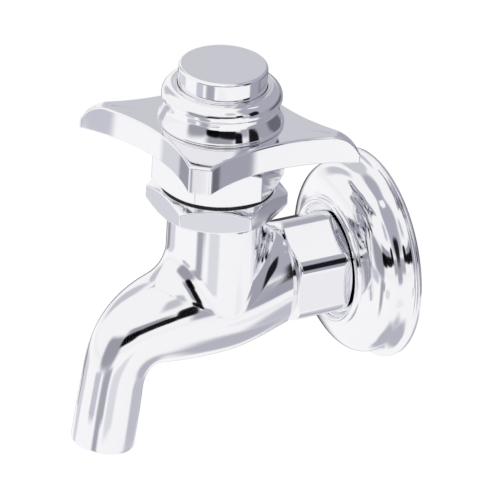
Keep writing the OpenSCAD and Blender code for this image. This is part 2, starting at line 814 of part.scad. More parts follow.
module piston_cup() {
    lip_top = follower_z + cup_lip;
    color(rubber) on_valve() difference() {
        union() {
            turned(stem_hole, piston_r, cup_z, follower_z);
            turned(piston_r - cup_lip_t, piston_r, cup_z + cup_base / 2, lip_top);
        }
        bleed(cup_z, lip_top);
    }
}

module piston() {
    color(brass) on_valve() difference() {
        turned(stem_hole, piston_r, piston_z, cup_z);
        bleed(piston_z, cup_z);
    }
}

module piston_nut() {
    color(brass) on_valve() nut(nut_af, piston_nut_z, piston_z);
}

module valve_disc() {
    color(rubber) on_valve() turned(stem_hole, disc_r, disc_z, disc_top);
}

module disc_holder() {
    color(brass) on_valve() rotate_extrude() polygon([
        [stem_hole, holder_z], [holder_r, holder_z], [holder_r, disc_z + holder_rim],
        [disc_r + fit, disc_z + holder_rim], [disc_r + fit, disc_z], [stem_hole, disc_z]
    ]);
}

module disc_nut() {
    color(brass) on_valve() nut(nut_af, disc_nut_z, holder_z);
}

spout_body();
wall_flange();
inlet_strainer();
strainer_washer();
valve_cage();
cage_gasket();
bonnet();
bonnet_gasket();
guide_bush();
stem_oring();
gland_washer();
gland_nut();
wing_grip();
collar();
retaining_ring();
spring_washer();
return_spring();
push_button();
button_locknut();
stem();
cup_follower();
piston_cup();
piston();
piston_nut();
valve_disc();
disc_holder();
disc_nut();
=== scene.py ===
"""Push timed tap: the visible pieces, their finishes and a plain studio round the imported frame."""

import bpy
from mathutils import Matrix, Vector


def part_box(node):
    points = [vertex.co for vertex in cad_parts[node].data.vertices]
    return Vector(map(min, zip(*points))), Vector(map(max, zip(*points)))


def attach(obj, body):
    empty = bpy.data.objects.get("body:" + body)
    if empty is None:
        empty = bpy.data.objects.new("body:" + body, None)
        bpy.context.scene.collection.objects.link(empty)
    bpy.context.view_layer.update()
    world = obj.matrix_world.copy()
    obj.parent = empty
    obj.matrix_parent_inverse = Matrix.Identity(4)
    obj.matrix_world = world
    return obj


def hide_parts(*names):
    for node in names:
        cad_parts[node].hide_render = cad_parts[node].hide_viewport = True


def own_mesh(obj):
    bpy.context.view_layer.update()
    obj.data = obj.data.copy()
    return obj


bl_info = {
    "name": "Push Timed Tap",
    "version": (1, 0, 0),
    "blender": (4, 5, 0),
    "location": "View3D > Sidebar > Tap",
    "description": "Builds the chromed body, grip, button and stage of a push timed tap on its packed frame",
    "category": "Object",
}

from math import cos, sin

import bmesh
import bpy
import numpy as np
from bpy.props import FloatProperty, FloatVectorProperty, PointerProperty
from mathutils import Matrix, Vector

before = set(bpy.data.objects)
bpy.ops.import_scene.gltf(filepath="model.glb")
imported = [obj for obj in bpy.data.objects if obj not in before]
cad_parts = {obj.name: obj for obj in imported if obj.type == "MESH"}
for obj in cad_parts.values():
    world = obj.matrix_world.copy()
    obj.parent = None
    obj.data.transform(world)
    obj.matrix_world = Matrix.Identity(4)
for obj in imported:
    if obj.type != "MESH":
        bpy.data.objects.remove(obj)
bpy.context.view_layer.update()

MM = 0.001
TURN = 2 * np.pi
SLOPE_30 = np.tan(np.pi / 6)
COS_30 = np.cos(np.pi / 6)
# A hexagon's ends are flat out to this share of the flats' radius
FACE_SHARE = 0.97


def node_box(node):
    """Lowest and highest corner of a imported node, in mm."""
    low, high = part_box(node)
    return np.array(low) / MM, np.array(high) / MM


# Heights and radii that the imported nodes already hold, in mm
BUTTON_LOW, BUTTON_HIGH = node_box("push_button")
RING_LOW, RING_HIGH = node_box("retaining_ring")
COLLAR_LOW, COLLAR_HIGH = node_box("collar")
GRIP_LOW, GRIP_HIGH = node_box("wing_grip")
GASKET_LOW, GASKET_HIGH = node_box("bonnet_gasket")
BONNET_LOW, BONNET_HIGH = node_box("bonnet")
SPRING_LOW, SPRING_HIGH = node_box("return_spring")
FLANGE_HIGH = node_box("wall_flange")[1]
BODY_HIGH = node_box("spout_body")[1]
REACH = -(BUTTON_LOW[1] + BUTTON_HIGH[1]) / 2


def length(name, description, millimetres):
    """A length property in metres, given in mm."""
    return FloatProperty(name=name, description=description, default=millimetres * MM, min=0, unit="LENGTH")


def angle_size(name, description, degrees):
    """An angle property in radians, given in degrees."""
    return FloatProperty(name=name, description=description, default=np.radians(degrees), unit="ROTATION")


def number_size(name, description, value, **limits):
    """A plain number, such as a share or a power."""
    return FloatProperty(name=name, description=description, default=value, **limits)


def linear(hex_colour):
    """sRGB hex to linear red, green and blue."""
    value = np.array([int(hex_colour[i : i + 2], 16) for i in (1, 3, 5)]) / 255
    return tuple(np.where(value <= 0.04045, value / 12.92, ((value + 0.055) / 1.055) ** 2.4).tolist())


def colour(name, description, hex_colour):
    """A colour property given as sRGB hex."""
    return FloatVectorProperty(
        name=name, description=description, default=linear(hex_colour), size=3, min=0, max=1, subtype="COLOR"
    )


class TapBodySizes(bpy.types.PropertyGroup):
    """Sizes of the cast body."""

    shoulder: length("Shoulder Radius", "Radius of the waterway where it leaves the inlet hexagon", 12.6)
    belly: length("Belly Radius", "Radius of the waterway under the valve", 13.2)
    shoulder_width: number_size("Shoulder Width", "Width of the waterway over its height at the inlet", 0.89)
    belly_width: number_size("Belly Width", "Width of the waterway over its height under the valve", 0.945)
    belly_drop: length("Belly Drop", "Drop of the centre line under the valve", 4.9)
    belly_slope: angle_size("Belly Slope", "Fall of the centre line under the valve", 2.4)
    bend_out: length("Bend Out", "Distance from the valve axis to the end of the bend", 28.1)
    bend_drop: length("Bend Drop", "Drop of the end of the bend", 21.9)
    outlet_lean: angle_size("Outlet Lean", "Forward lean of the outlet", 7)
    outlet_run: length("Outlet Run", "Length of the straight outlet", 17.2)
    outlet: length("Outlet Radius", "Outside radius of the outlet", 8.2)
    outlet_bore: length("Outlet Bore", "Bore radius of the outlet", 6.2)
    neck: length("Neck Radius", "Radius of the round neck under the hexagon", 12.4)
    neck_top: length("Neck Top", "Height of the underside of the hexagon", 23)
    blend_front: length("Front Blend", "Radius of the cast blend in front of the neck", 10)
    blend_back: length("Back Blend", "Radius of the cast blend behind the neck", 8)
    hexagon: length("Body Hexagon", "Width across the flats of the body's hexagon", 31.5)
    corner: length("Corner Radius", "Radius of the vertical edges of the hexagons", 0.5)
    edge: length("Edge Radius", "Size of the polished edges", 0.28)


class TapInletSizes(bpy.types.PropertyGroup):
    """Sizes of the inlet and the wall flange."""

    waterway_start: length("Waterway Start", "Distance from the wall to the closed end of the waterway", 23)
    hexagon: length("Inlet Hexagon", "Width across the flats of the inlet hexagon", 25.8)
    hexagon_front: length("Hexagon Front", "Distance from the wall to the front of the inlet hexagon", 28.3)
    hexagon_turn: angle_size("Inlet Turn", "Direction of one corner of the inlet hexagon", 28)
    corner: length("Inlet Corner", "Radius of the corners of the inlet hexagon", 4)
    seat: length("Flange Seat", "Distance from the wall to the seat of the flange", 12)
    thread: length("Thread Radius", "Crest radius of the inlet thread", 10.4775)
    pitch: length("Thread Pitch", "Pitch of the inlet thread, 14 turns to the inch", 1.814)
    bore: length("Inlet Bore", "Radius of the inlet bore", 6)
    dome: length("Dome Radius", "Radius of the flange's dome at its foot", 25.2)
    dome_foot: length("Dome Foot", "Height of the dome's foot above the wall", 4.6)
    dome_rise: length("Dome Rise", "Rise of the dome above its foot", 8.5)
    dome_fullness: number_size("Dome Fullness", "2 is an ellipse, more is squarer", 2.8, min=2)
    recess: length("Recess Radius", "Radius of the recess round the inlet hexagon", 15)
    lip: length("Lip Radius", "Radius of the rolled lip of the recess", 1)
    sheet: length("Sheet", "Sheet thickness of the flange", 1.5)
    floor: length("Recess Floor", "Thickness of the flange where it is clamped on its seat", 3.3)


class TapHeadSizes(bpy.types.PropertyGroup):
    """Sizes of the bonnet, grip, collar, ring, button and spring."""

    hexagon: length("Bonnet Hexagon", "Width across the flats of the bonnet's hexagon", 30)
    hexagon_turn: angle_size("Bonnet Turn", "Direction of one corner of the bonnet's hexagon", 11)
    barrel: length("Bonnet Thread", "Radius of the bonnet's thread", 11)
    bonnet_neck: length("Bonnet Neck", "Radius of the neck that carries the grip", 9.5)
    cylinder: length("Timing Cylinder", "Bore radius of the timing cylinder", 7.5)
    packing: length("Packing Chamber", "Bore radius of the packing chamber", 5.3)
    grip_long: length("Long Points", "Reach of the two long points", 36.4)
    grip_short: length("Short Points", "Reach of the two short points", 28.2)
    scallop: length("Scallop Radius", "Radius of the scalloped sides", 46.5)
    waist: length("Waist", "Distance from the axis to the middle of a scallop", 18.4)
    droop: length("Droop", "Radius of the rounded ends of the long points", 7.2)
    grip_wall: length("Grip Wall", "Wall of the grip", 2)
    hub: length("Hub Radius", "Radius of the hub inside the grip", 13)
    grip_turn: angle_size("Grip Turn", "Direction of a long point", 51)
    band: length("Band Radius", "Radius of the collar's band", 15)
    cavity: length("Cavity Radius", "Radius of the cavity in the collar", 12.6)
    spigot: length("Spigot Radius", "Radius of the spigot under the retaining ring", 13.8)
    shoulder_width: length("Ring Shoulder Width", "Width of the retaining ring's rounded shoulder", 3)
    shoulder_height: length("Ring Shoulder Height", "Height of the retaining ring's rounded shoulder", 3.2)
    button: length("Button Radius", "Radius of the push button", 11.5)
    button_wall: length("Button Wall", "Wall of the push button", 1.75)
    button_top: length("Button Top", "Thickness of the push button's top", 2.2)
    wire: length("Wire Diameter", "Wire diameter of the return spring", 1)
    spring: length("Spring Radius", "Mean radius of the return spring", 8)
    turns: number_size("Spring Turns", "Turns of the return spring", 4.25, min=1)


class TapFinishes(bpy.types.PropertyGroup):
    """Colours of the finishes."""

    chrome: colour("Chrome", "Polished chrome plate", "#F2F2F5")
    brass: colour("Brass", "Turned brass", "#C9A35B")
    rubber: colour("Rubber", "Moulded rubber", "#1C1C1E")
    stainless: colour("Stainless", "Turned stainless steel", "#B7B9BC")
    wire: colour("Spring Wire", "Drawn spring wire", "#96989C")
    nylon: colour("Nylon", "Moulded nylon", "#EAE8DF")
    fibre: colour("Fibre", "Pressed red fibre", "#9A4534")


class TapStage(bpy.types.PropertyGroup):
    """The plain studio."""

    floor: colour("Floor", "Pale floor", "#F4F4F5")
    floor_width: length("Floor Width", "Side of the square floor", 12000)
    floor_drop: length("Floor Drop", "Height of the tap's inlet axis above the floor", 130)
    azimuth: angle_size("Camera Azimuth", "Turn of the camera round the tap from straight in front", 60)
    elevation: angle_size("Camera Elevation", "Angle at which the camera looks down", 28)
    roll: angle_size("Camera Roll", "Turn of the picture about the line of sight", 3)
    distance: length("Camera Distance", "Distance of the camera from the tap", 4000)
    frame_width: length("Frame Width", "Width of the picture at the tap", 127.69)
    frame_right: length("Frame Right", "Middle of the picture to the right of the valve axis", 9.43)
    frame_up: length("Frame Up", "Middle of the picture above the inlet axis", 9.02)
    daylight: number_size("Daylight", "Strength of the white surroundings on matt surfaces", 0.75)
    key: number_size("Key Light", "Power of the large soft light above", 9, unit="POWER")


def sizes(group):
    """Every size of a group in mm, angles in radians and counts left as they are."""
    named = {}
    for key in group.bl_rna.properties.keys():
        prop = group.bl_rna.properties[key]
        if prop.type == "FLOAT" and not prop.is_array:
            named[key] = getattr(group, key) / (MM if prop.unit == "LENGTH" else 1)
    return type("Sizes", (), named)


# Surfaces


def rounded(points, radius, steps=6):
    """Closed profile whose corners become arcs.

    An arc starts and ends at radius / tan(half the corner's angle) from its corner and runs evenly
    in angle about its centre. A corner of radius 0 stays as one point."""
    p = np.asarray(points, float)
    r = np.broadcast_to(np.asarray(radius, float), len(p))
    back, on = np.roll(p, 1, 0) - p, np.roll(p, -1, 0) - p
    back_run, on_run = np.linalg.norm(back, axis=1), np.linalg.norm(on, axis=1)
    back, on = back / back_run[:, None], on / on_run[:, None]
    half = np.arccos(np.clip((back * on).sum(1), -0.99999, 0.99999)) / 2
    reach = np.minimum(r / np.tan(half), 0.48 * np.minimum(back_run, on_run))
    middle = back + on
    middle = middle / np.maximum(np.linalg.norm(middle, axis=1), 1e-9)[:, None]
    inward = middle * (reach / np.cos(half))[:, None]
    sweep = np.pi - 2 * half
    t = np.linspace(0, 1, steps + 1)
    first = np.sin(np.outer(sweep, 1 - t)) / np.sin(sweep)[:, None]
    last = np.sin(np.outer(sweep, t)) / np.sin(sweep)[:, None]
    start, end = back * reach[:, None] - inward, on * reach[:, None] - inward
    arcs = (p + inward)[:, None] + first[..., None] * start[:, None] + last[..., None] * end[:, None]
    keep = (r[:, None] > 0) | (t[None] == 0)
    arcs = np.where(r[:, None, None] > 0, arcs, p[:, None])
    return arcs[keep]


def curve(a, b, c, steps):
    """Points of the parabola from a to c that leaves a and meets c in the direction of b."""
    t = np.linspace(0, 1, steps + 1)[:, None]
    return (1 - t) ** 2 * np.array(a) + 2 * t * (1 - t) * np.array(b) + t**2 * np.array(c)


def on_axis(x, across, height, inlet=False):
    """Points about the valve axis, or about the inlet axis with height counted forwards from the wall."""
    x, across, height = np.broadcast_arrays(x, across, height)
    if inlet:
        return np.stack([x, -height, across], -1)
    return np.stack([x, across - REACH, height], -1)


def turned(profile, columns=192, inlet=False):
    """Profile of (radius, height) turned about an axis: r(v) cos a, r(v) sin a, h(v)."""
    a = np.linspace(0, TURN, columns, endpoint=False)
    r, h = profile[:, :1], profile[:, 1:]
    return on_axis(r * np.cos(a), r * np.sin(a), h, inlet)


def hexagon_plan(across, corner, per_corner=44):
    """Polar plan of a hexagon with rounded corners, one corner at angle 0.

    Off the corners r = half the width / cos(angle from the flat's middle). At a corner r is where the ray
    leaves the corner's circle. The angles crowd towards the corners."""
    u = np.linspace(-1, 1, per_corner, endpoint=False)
    off = np.sign(u) * np.abs(u) ** 1.7 * np.pi / 6
    centre = (across / 2 - corner) / COS_30
    edge_angle = np.arctan2(corner / 2, centre + corner * COS_30)
    arc = centre * np.cos(off) + np.sqrt(np.maximum(corner**2 - (centre * np.sin(off)) ** 2, 0))
    flat = across / 2 / np.cos(np.pi / 6 - np.abs(off))
    r = np.where(np.abs(off) < edge_angle, arc, flat)
    angle = (np.arange(6)[:, None] * np.pi / 3 + off).ravel()
    return angle, np.tile(r, 6)


def hexagon_bar(across, corner, edge, low, high, bores, turn=0, inlet=False):
    """Hexagon bar between two heights with 30 degree chamfer cones on both ends and a bore.

    Each end is flat out to FACE_SHARE of the flats' radius, then falls as a cone to the plan r(a), and a
    parabola rounds the edge between cone and side. Rows run from the upper bore out, down the side and in."""
    angle, plan = hexagon_plan(across, corner)
    face, soften = FACE_SHARE * across / 2, 0.01
    drop = (plan - face) * SLOPE_30
    t = np.linspace(0, 1, 6)[:, None]
    fall = edge * SLOPE_30
    edge_r = (1 - t) ** 2 * (plan - edge) + (1 - (1 - t) ** 2) * plan
    edge_z = (1 - t) ** 2 * (drop - fall) + 2 * t * (1 - t) * drop + t**2 * (drop + edge)
    ring = np.ones_like(plan)
    inner = [ring * r for r in (bores[0], face - 2 * edge, face - edge / 2, face + edge / 4)]
    inner_z = [0 * plan, 0 * plan, ring * soften, ring * edge / 4 * SLOPE_30 + 2 * soften]
    upper_r = np.vstack([inner, edge_r])
    upper_z = np.vstack([inner_z, edge_z])
    lower_r = upper_r[::-1].copy()
    lower_r[-1] = bores[1]
    r = np.vstack([upper_r, lower_r])
    z = np.vstack([high - upper_z, low + upper_z[::-1]])
    return on_axis(r * np.cos(angle + turn), r * np.sin(angle + turn), z, inlet)


def bezier(points, t):
    """Cubic curve through its first and last point, and its unit direction, at t."""
    a, b, c, d = np.asarray(points, float)
    t = np.asarray(t)[:, None]
    place = (1 - t) ** 3 * a + 3 * t * (1 - t) ** 2 * b + 3 * t**2 * (1 - t) * c + t**3 * d
    along = (1 - t) ** 2 * (b - a) + 2 * t * (1 - t) * (c - b) + t**2 * (d - c)
    return place, along / np.linalg.norm(along, axis=1)[:, None]


class Waterway:
    """Centre line of the cast waterway as (forward of the valve axis, height), in mm.

    Each part gives places, directions, radii and widths, a width being the share of the radius sideways."""

    # Handles of the two curves, and the bore's narrow radius and first points, in mm
    BACK_HANDLE, FRONT_HANDLE, BEND_HANDLE = 8, 16.8, 15.5
    BORE_NARROW, BORE_POINTS = 3, ([8.5, 4.5], [15.5, -4])

    def __init__(self, body, inlet):
        out = np.array([np.sin(body.outlet_lean), -np.cos(body.outlet_lean)])
        ahead = np.array([np.cos(body.belly_slope), -np.sin(body.belly_slope)])
        shoulder = np.array([inlet.waterway_start - REACH, 0])
        belly = np.array([0, -body.belly_drop])
        bend = np.array([body.bend_out, -body.bend_drop])
        self.back = [shoulder, shoulder + [self.BACK_HANDLE, 0], belly - self.BACK_HANDLE * ahead, belly]
        self.front = [belly, belly + self.FRONT_HANDLE * ahead, bend - self.BEND_HANDLE * out, bend]
        self.inside = [*self.BORE_POINTS, [body.bend_out - 1.3, -5.5], bend]
        self.out, self.bend, self.body = out, bend, body
        self.slim = body.outlet - 0.2

    def back_part(self, t):
        """Shoulder to belly: radius and width grow with the sine of a quarter turn."""
        b, swell = self.body, np.sin(t * np.pi / 2)
        radius = b.shoulder + (b.belly - b.shoulder) * swell
        return (*bezier(self.back, t), radius, b.shoulder_width + (b.belly_width - b.shoulder_width) * swell)

    def front_part(self, t):
        """Belly to bend: the radius falls with the cosine to the power 1.8, the width with its square."""
        b, fall = self.body, np.maximum(np.cos(t * np.pi / 2), 0)
        radius = self.slim + (b.belly - self.slim) * fall**1.8
        return (*bezier(self.front, t), radius, 1 - (1 - b.belly_width) * fall**2)

    def outlet_part(self):
        """Straight outlet, its rounded rim and its bore, as stations along the outlet."""
        b = self.body
        wall = (b.outlet + b.outlet_bore) / 2
        corners = [
            [0, self.slim], [b.outlet_run * 0.4, b.outlet - 0.02], [b.outlet_run, b.outlet],
            [b.outlet_run, b.outlet_bore], [1, b.outlet_bore - 0.02], [0, wall],
        ]
        along = rounded(corners, [0, 12, 0.7, 0.5, 0, 0], 8)[:-1]
        direction = np.tile(self.out, (len(along), 1))
        return self.bend + along[:, :1] * self.out, direction, along[:, 1], np.ones(len(along))

    def bore_part(self, t):
        """Bore from the outlet up into the bend: the radius grows evenly towards the outlet."""
        widening = self.body.outlet_bore - 0.6 - self.BORE_NARROW
        return (*bezier(self.inside, t), self.BORE_NARROW + widening * t, np.ones_like(t))

    def touch(self, points):
        """Nearest place on the waterway to each point (sideways, forward, height), and its distance.

        A ring is an ellipse across the line, (hypot(x / width, lift) - radius) away along the slope of that
        sum, and a parabola through the three nearest stations finds the ring between them. The distance is
        less than 0 inside."""
        t = np.linspace(0, 1, 240)
        parts = [self.back_part(t[:-1]), self.front_part(t)]
        line = np.column_stack([np.concatenate([p[i] for p in parts]) for i in range(4)])

        def on_ring(stations):
            """Each point's nearest place on each station's ring, and its distance."""
            centre, along = stations[..., :2], stations[..., 2:4]
            radius, width = stations[..., 4], stations[..., 5]
            up = np.stack([-along[..., 1], along[..., 0]], -1)
            x, lift = points[:, None, 0], ((points[:, None, 1:] - centre) * up).sum(-1)
            run, slope = np.hypot(x / width, lift), np.hypot(x / width**2, lift)
            gap = (run - radius) * run / slope
            place = centre + (lift * (1 - gap / slope))[..., None] * up
            place = np.concatenate([(x - gap * x / width**2 / slope)[..., None], place], -1)
            return place, np.linalg.norm(points[:, None] - place, axis=-1) * np.sign(gap)

        square = on_ring(line[None])[1] ** 2
        index = np.clip(square.argmin(1), 1, len(line) - 2)
        before, at, after = (square[np.arange(len(points)), index + k] for k in (-1, 0, 1))
        hollow = np.maximum(before - 2 * at + after, 1e-9)
        spot = index + np.clip((before - after) / (2 * hollow), -0.99, 0.99)
        first = np.floor(spot).astype(int)
        share = (spot - first)[:, None]
        place, distance = on_ring(((1 - share) * line[first] + share * line[first + 1])[:, None])
        return place[:, 0], distance[:, 0]


def waterway_surface(way, columns=192):
    """Tube of changing radius carried along the centre line, round the outlet's rim and back up its bore.

    Each station's ring lies across the direction of the line: centre + r (sin a up + width cos a sideways).
    The first and last rings have radius 0, so that both ends are closed."""
    back = way.back_part(np.linspace(0, 1, 56)[:-1])
    front = way.front_part(np.linspace(0, 1, 160)[:-1])
    bore = way.bore_part(np.linspace(0.96, 0.3, 30))
    parts = [back, front, way.outlet_part(), bore]
    centre, along, radius, width = (np.concatenate([p[i] for p in parts]) for i in range(4))
    centre = np.vstack([centre[:1], centre, centre[-1:]])
    along = np.vstack([along[:1], along, along[-1:]])
    radius, width = np.concatenate([[0], radius, [0]]), np.concatenate([[1], width, [1]])
    a = np.linspace(0, TURN, columns, endpoint=False)
    up = np.stack([-along[:, 1], along[:, 0]], 1)
    lift = radius[:, None] * np.sin(a)
    forward = centre[:, :1] + lift * up[:, :1]
    height = centre[:, 1:] + lift * up[:, 1:]
    return on_axis((radius * width)[:, None] * np.cos(a), -forward, height)


def neck_surface(way, columns=480):
    """Neck with its cast blend: a ball rolls round the corner between the neck and the waterway.

    At each angle the ball's radius is between the back and front radius, its centre is that far from the
    neck's cylinder, and halving finds the height at which it is as far from the waterway. The arc between the
    two touching points is the blend. The rows then dip under the waterway and close inside the neck."""
    b = way.body
    clear, overrun, sunk, wall = 0.015, 0.04, 0.5, 1.1
    a = np.linspace(0, TURN, columns, endpoint=False)
    share = np.clip((np.sin(a) + 0.9) / 1.1, 0, 1)
    ball = b.blend_back + (b.blend_front - b.blend_back) * share**2 * (3 - 2 * share)
    x, f = (b.neck + ball) * np.cos(a), (b.neck + ball) * np.sin(a)
    low, high = np.full(columns, -b.belly_drop), np.full(columns, b.neck_top)
    for _ in range(40):
        mid = (low + high) / 2
        outside = way.touch(np.stack([x, f, mid], 1))[1] > ball + clear
        low, high = np.where(outside, low, mid), np.where(outside, mid, high)
    middle = np.stack([x, f, mid], 1)
    to_tube = way.touch(middle)[0] - middle
    to_tube /= np.linalg.norm(to_tube, axis=1)[:, None]
    to_neck = np.stack([-np.cos(a), -np.sin(a), 0 * a], 1)
    sweep = np.arccos(np.clip((to_tube * to_neck).sum(1), -1, 1))[:, None]
    t = np.linspace(0, 1, 41)[:, None, None]
    turn = (np.sin((1 - t) * sweep) * to_neck + np.sin(t * sweep) * to_tube) / np.sin(sweep)
    arc = middle + ball[:, None] * turn
    ring = np.stack([np.cos(a), np.sin(a), 0 * a], 1)
    upright = np.array([0, 0, 1.0])
    top = b.neck_top + 1
    neck_rows = np.linspace(0, 1, 8)[:-1, None, None]
    neck = ring * b.neck + upright * (top + neck_rows * (mid - top)[:, None])
    onward = np.cross(np.cross(to_neck, to_tube), to_tube) / np.sin(sweep)
    foot = [arc[-1] + overrun * onward, arc[-1] + 1.5 * overrun * onward + sunk * to_tube]
    inner = b.neck - wall
    closing = [ring * inner + upright * (foot[1][:, 2:] - 1), ring * inner + upright * top]
    rows = np.concatenate([neck, arc, foot, closing])
    return on_axis(rows[..., 0], -rows[..., 1], rows[..., 2])


def threaded_tail(inlet, columns=96, per_turn=14):
    """Inlet tail with a helical thread, an undercut behind the hexagon and a stepped bore.

    The crest height is a rounded triangle wave of (distance / pitch - angle / one turn), faded to nothing at
    both ends of the thread, on a core one thread depth below the crest."""
    a = np.linspace(0, TURN, columns, endpoint=False)
    tail, front, depth, runout = BODY_HIGH[1], 4.0, 1.16, 0.9
    strainer_seat, chamfer = 7.3, 0.4
    run = np.linspace(-front, tail - runout, int((tail + front) / inlet.pitch * per_turn))[:, None]
    phase = np.abs(((run / inlet.pitch - a / TURN) % 1) * 2 - 1)
    crest = 0.5 - 0.5 * np.cos(np.pi * np.clip(phase * 1.25 - 0.12, 0, 1))
    fade = np.clip((run + front) / 1.2, 0, 1) * np.clip((tail - runout - run) / 0.8, 0, 1)
    r = inlet.thread - depth + depth * crest * fade
    undercut = inlet.thread - depth
    ring = np.ones_like(a)
    start = [(undercut, -inlet.seat - 2), (undercut, -front - 0.3)]
    end = [
        (undercut - 0.1, tail - 0.5), (undercut - 0.5, tail), (strainer_seat + chamfer, tail),
        (strainer_seat, tail - chamfer), (strainer_seat, tail - 2.4), (inlet.bore, tail - 2.5),
        (inlet.bore, -inlet.seat - 2),
    ]
    rows_r = np.vstack([[ring * p[0] for p in start], r, [ring * p[0] for p in end]])
    rows_y = np.vstack([[ring * p[1] for p in start], run + 0 * a, [ring * p[1] for p in end]])
    return on_axis(rows_r * np.cos(a), rows_r * np.sin(a), -rows_y, inlet=True)


def flange_profile(inlet):
    """Pressed flange: rim, flared foot, superellipse dome, rolled lip, recess and seat, then the inside.

    On the dome (r / R)^n + (height / rise)^n = 1, n being the fullness. The inside is a sheet smaller."""
    rim, power = FLANGE_HIGH[0], 2 / inlet.dome_fullness
    recess, seat = inlet.recess, inlet.seat

    def dome(radius, rise, end_r, steps=28):
        """The superellipse from its foot to where its radius is end_r."""
        a = np.linspace(0, np.arccos((end_r / radius) ** (1 / power)), steps + 1)[1:]
        return np.stack([radius * np.cos(a) ** power, inlet.dome_foot + rise * np.sin(a) ** power], 1)

    lip_r = recess + inlet.lip
    lip_part = (lip_r / inlet.dome) ** inlet.dome_fullness
    lip_z = inlet.dome_foot + inlet.dome_rise * (1 - lip_part) ** (1 / inlet.dome_fullness)
    a = np.linspace(0, np.pi, 13)
    lip = np.stack([lip_r + inlet.lip * np.cos(a), lip_z + inlet.lip * np.sin(a)], 1)
    inner, hole = inlet.dome - inlet.sheet, inlet.thread + 0.2
    back, clamp = recess + inlet.sheet, seat - inlet.floor
    outside = [
        curve([rim, 0.7], [rim, 1.0], [rim - 0.4, 1.02], 4),
        curve([rim - 0.5, 1.03], [inlet.dome + 0.2, 1.4], [inlet.dome, inlet.dome_foot], 14),
        dome(inlet.dome, inlet.dome_rise, recess + 2 * inlet.lip),
        lip,
        curve([recess, seat + 0.6], [recess, seat], [recess - 0.6, seat], 4),
    ]
    inside = [
        [[hole, seat], [hole, clamp], [back, clamp]],
        dome(inner, inlet.dome_rise - inlet.sheet, back, 20)[::-1],
        curve([inner, inlet.dome_foot], [inner + 0.2, 0.5], [rim - inlet.sheet, 0], 10),
        [[rim - 0.2, 0]],
    ]
    return np.vstack(outside + inside)


def grip_radius(angle, head, inset):
    """Polar plan of the grip: the nearer of the rectangle and the scallop's circle along each ray.

    A soft minimum, 1 / k times the log of the summed powers, rounds the corners where the two meet."""
    c, s = np.abs(np.cos(angle)), np.abs(np.sin(angle))
    middle = (head.waist + head.scallop) / np.sqrt(2)
    scallop = head.scallop + inset
    to_end = (head.grip_long - inset) / np.maximum(c, 1e-6)
    rectangle = np.minimum(to_end, (head.grip_short - inset) / np.maximum(s, 1e-6))
    along = middle * (c + s)
    under = along**2 - 2 * middle**2 + scallop**2
    circle = np.where(under > 0, along - np.sqrt(np.maximum(under, 0)), 99.0)
    k = 3.0
    least = np.minimum(rectangle, circle)
    return least - np.log(np.exp(-k * (rectangle - least)) + np.exp(-k * (circle - least))) / k


def grip_surface(head, columns=760):
    """Four-pointed grip as rows round its plan: top, upper edge, skirt, lower edge, hollow, hub and bore.

    Columns are evenly spaced along the plan's outline. The top is flat and falls as a quarter circle of the
    droop radius towards the ends of the long points, so each row's height follows its place along them."""
    fine = np.linspace(0, TURN, 40001)
    r = grip_radius(fine, head, 0)
    run = np.concatenate([[0], np.cumsum(np.hypot(np.diff(r), r[:-1] * np.diff(fine)))])
    angle = np.interp(np.linspace(0, run[-1], columns, endpoint=False), run, fine)
    r_out, r_in = grip_radius(angle, head, 0), grip_radius(angle, head, head.grip_wall)
    plan = np.stack([r_out * np.cos(angle), r_out * np.sin(angle)], 1)
    step = np.roll(plan, -1, 0) - np.roll(plan, 1, 0)
    normal = np.stack([step[:, 1], -step[:, 0]], 1) / np.linalg.norm(step, axis=1)[:, None]
    ray = np.stack([np.cos(angle), np.sin(angle)], 1)
    edge, foot_edge, rim_wall, hub_drop, bore = 0.55, 0.4, 0.9, 0.3, head.bonnet_neck + 0.1
    base, top = GRIP_LOW[2], GRIP_HIGH[2]
    skirt = base + foot_edge
    rim = plan - edge * normal
    hollow = np.minimum(r_in, r_out - rim_wall)
    quarter = np.linspace(0, np.pi / 2, 7)

    def crown(along, less=0.0):
        """Height of the top, or of a ceiling that much under it, at a place along the long points."""
        past = np.clip(np.abs(along) - (head.grip_long - head.droop), 0, head.droop - 0.001 - less)
        return top - head.droop + np.sqrt((head.droop - less) ** 2 - np.minimum(past, head.droop - less) ** 2)

    def row(place, height):
        """One row of points from its plan and its height."""
        return np.column_stack([place, np.broadcast_to(height, columns)])

    def ceiling(share):
        """Plan and height of the hollow's ceiling, a share of the way from the hub to the skirt."""
        place = ray * (head.hub + (hollow - head.hub) * share)[:, None]
        return place, np.maximum(crown(place[:, 0], head.grip_wall), skirt + hub_drop)

    rows = []
    for share in np.linspace(0, 1, 26)[1:-1]:
        flat = ray * bore * (1 - share) + rim * share
        rows.append(row(flat, crown(flat[:, 0])))
    for turn in quarter:
        height = crown(rim[:, 0]) - edge * (1 - np.cos(turn))
        rows.append(row(rim + edge * np.sin(turn) * normal, np.maximum(height, skirt + edge)))
    for turn in quarter:
        place = plan - foot_edge * (1 - np.cos(turn)) * normal
        rows.append(row(place, skirt + foot_edge * (1 - np.sin(turn))))
    inside, under = ceiling(1)
    rows += [row(inside, skirt), row(inside, skirt * 0.1 + under * 0.9)]
    rows += [row(*ceiling(share)) for share in (0.96, 0.6, 0.25, 0)]
    hub = ((head.hub, base + hub_drop), (head.hub - hub_drop, base), (bore, base), (bore, top))
    rows += [row(ray * radius, height) for radius, height in hub]
    grid = np.array(rows)
    c, s = np.cos(head.grip_turn), np.sin(head.grip_turn)
    return on_axis(grid[..., 0] * c - grid[..., 1] * s, grid[..., 0] * s + grid[..., 1] * c, grid[..., 2])


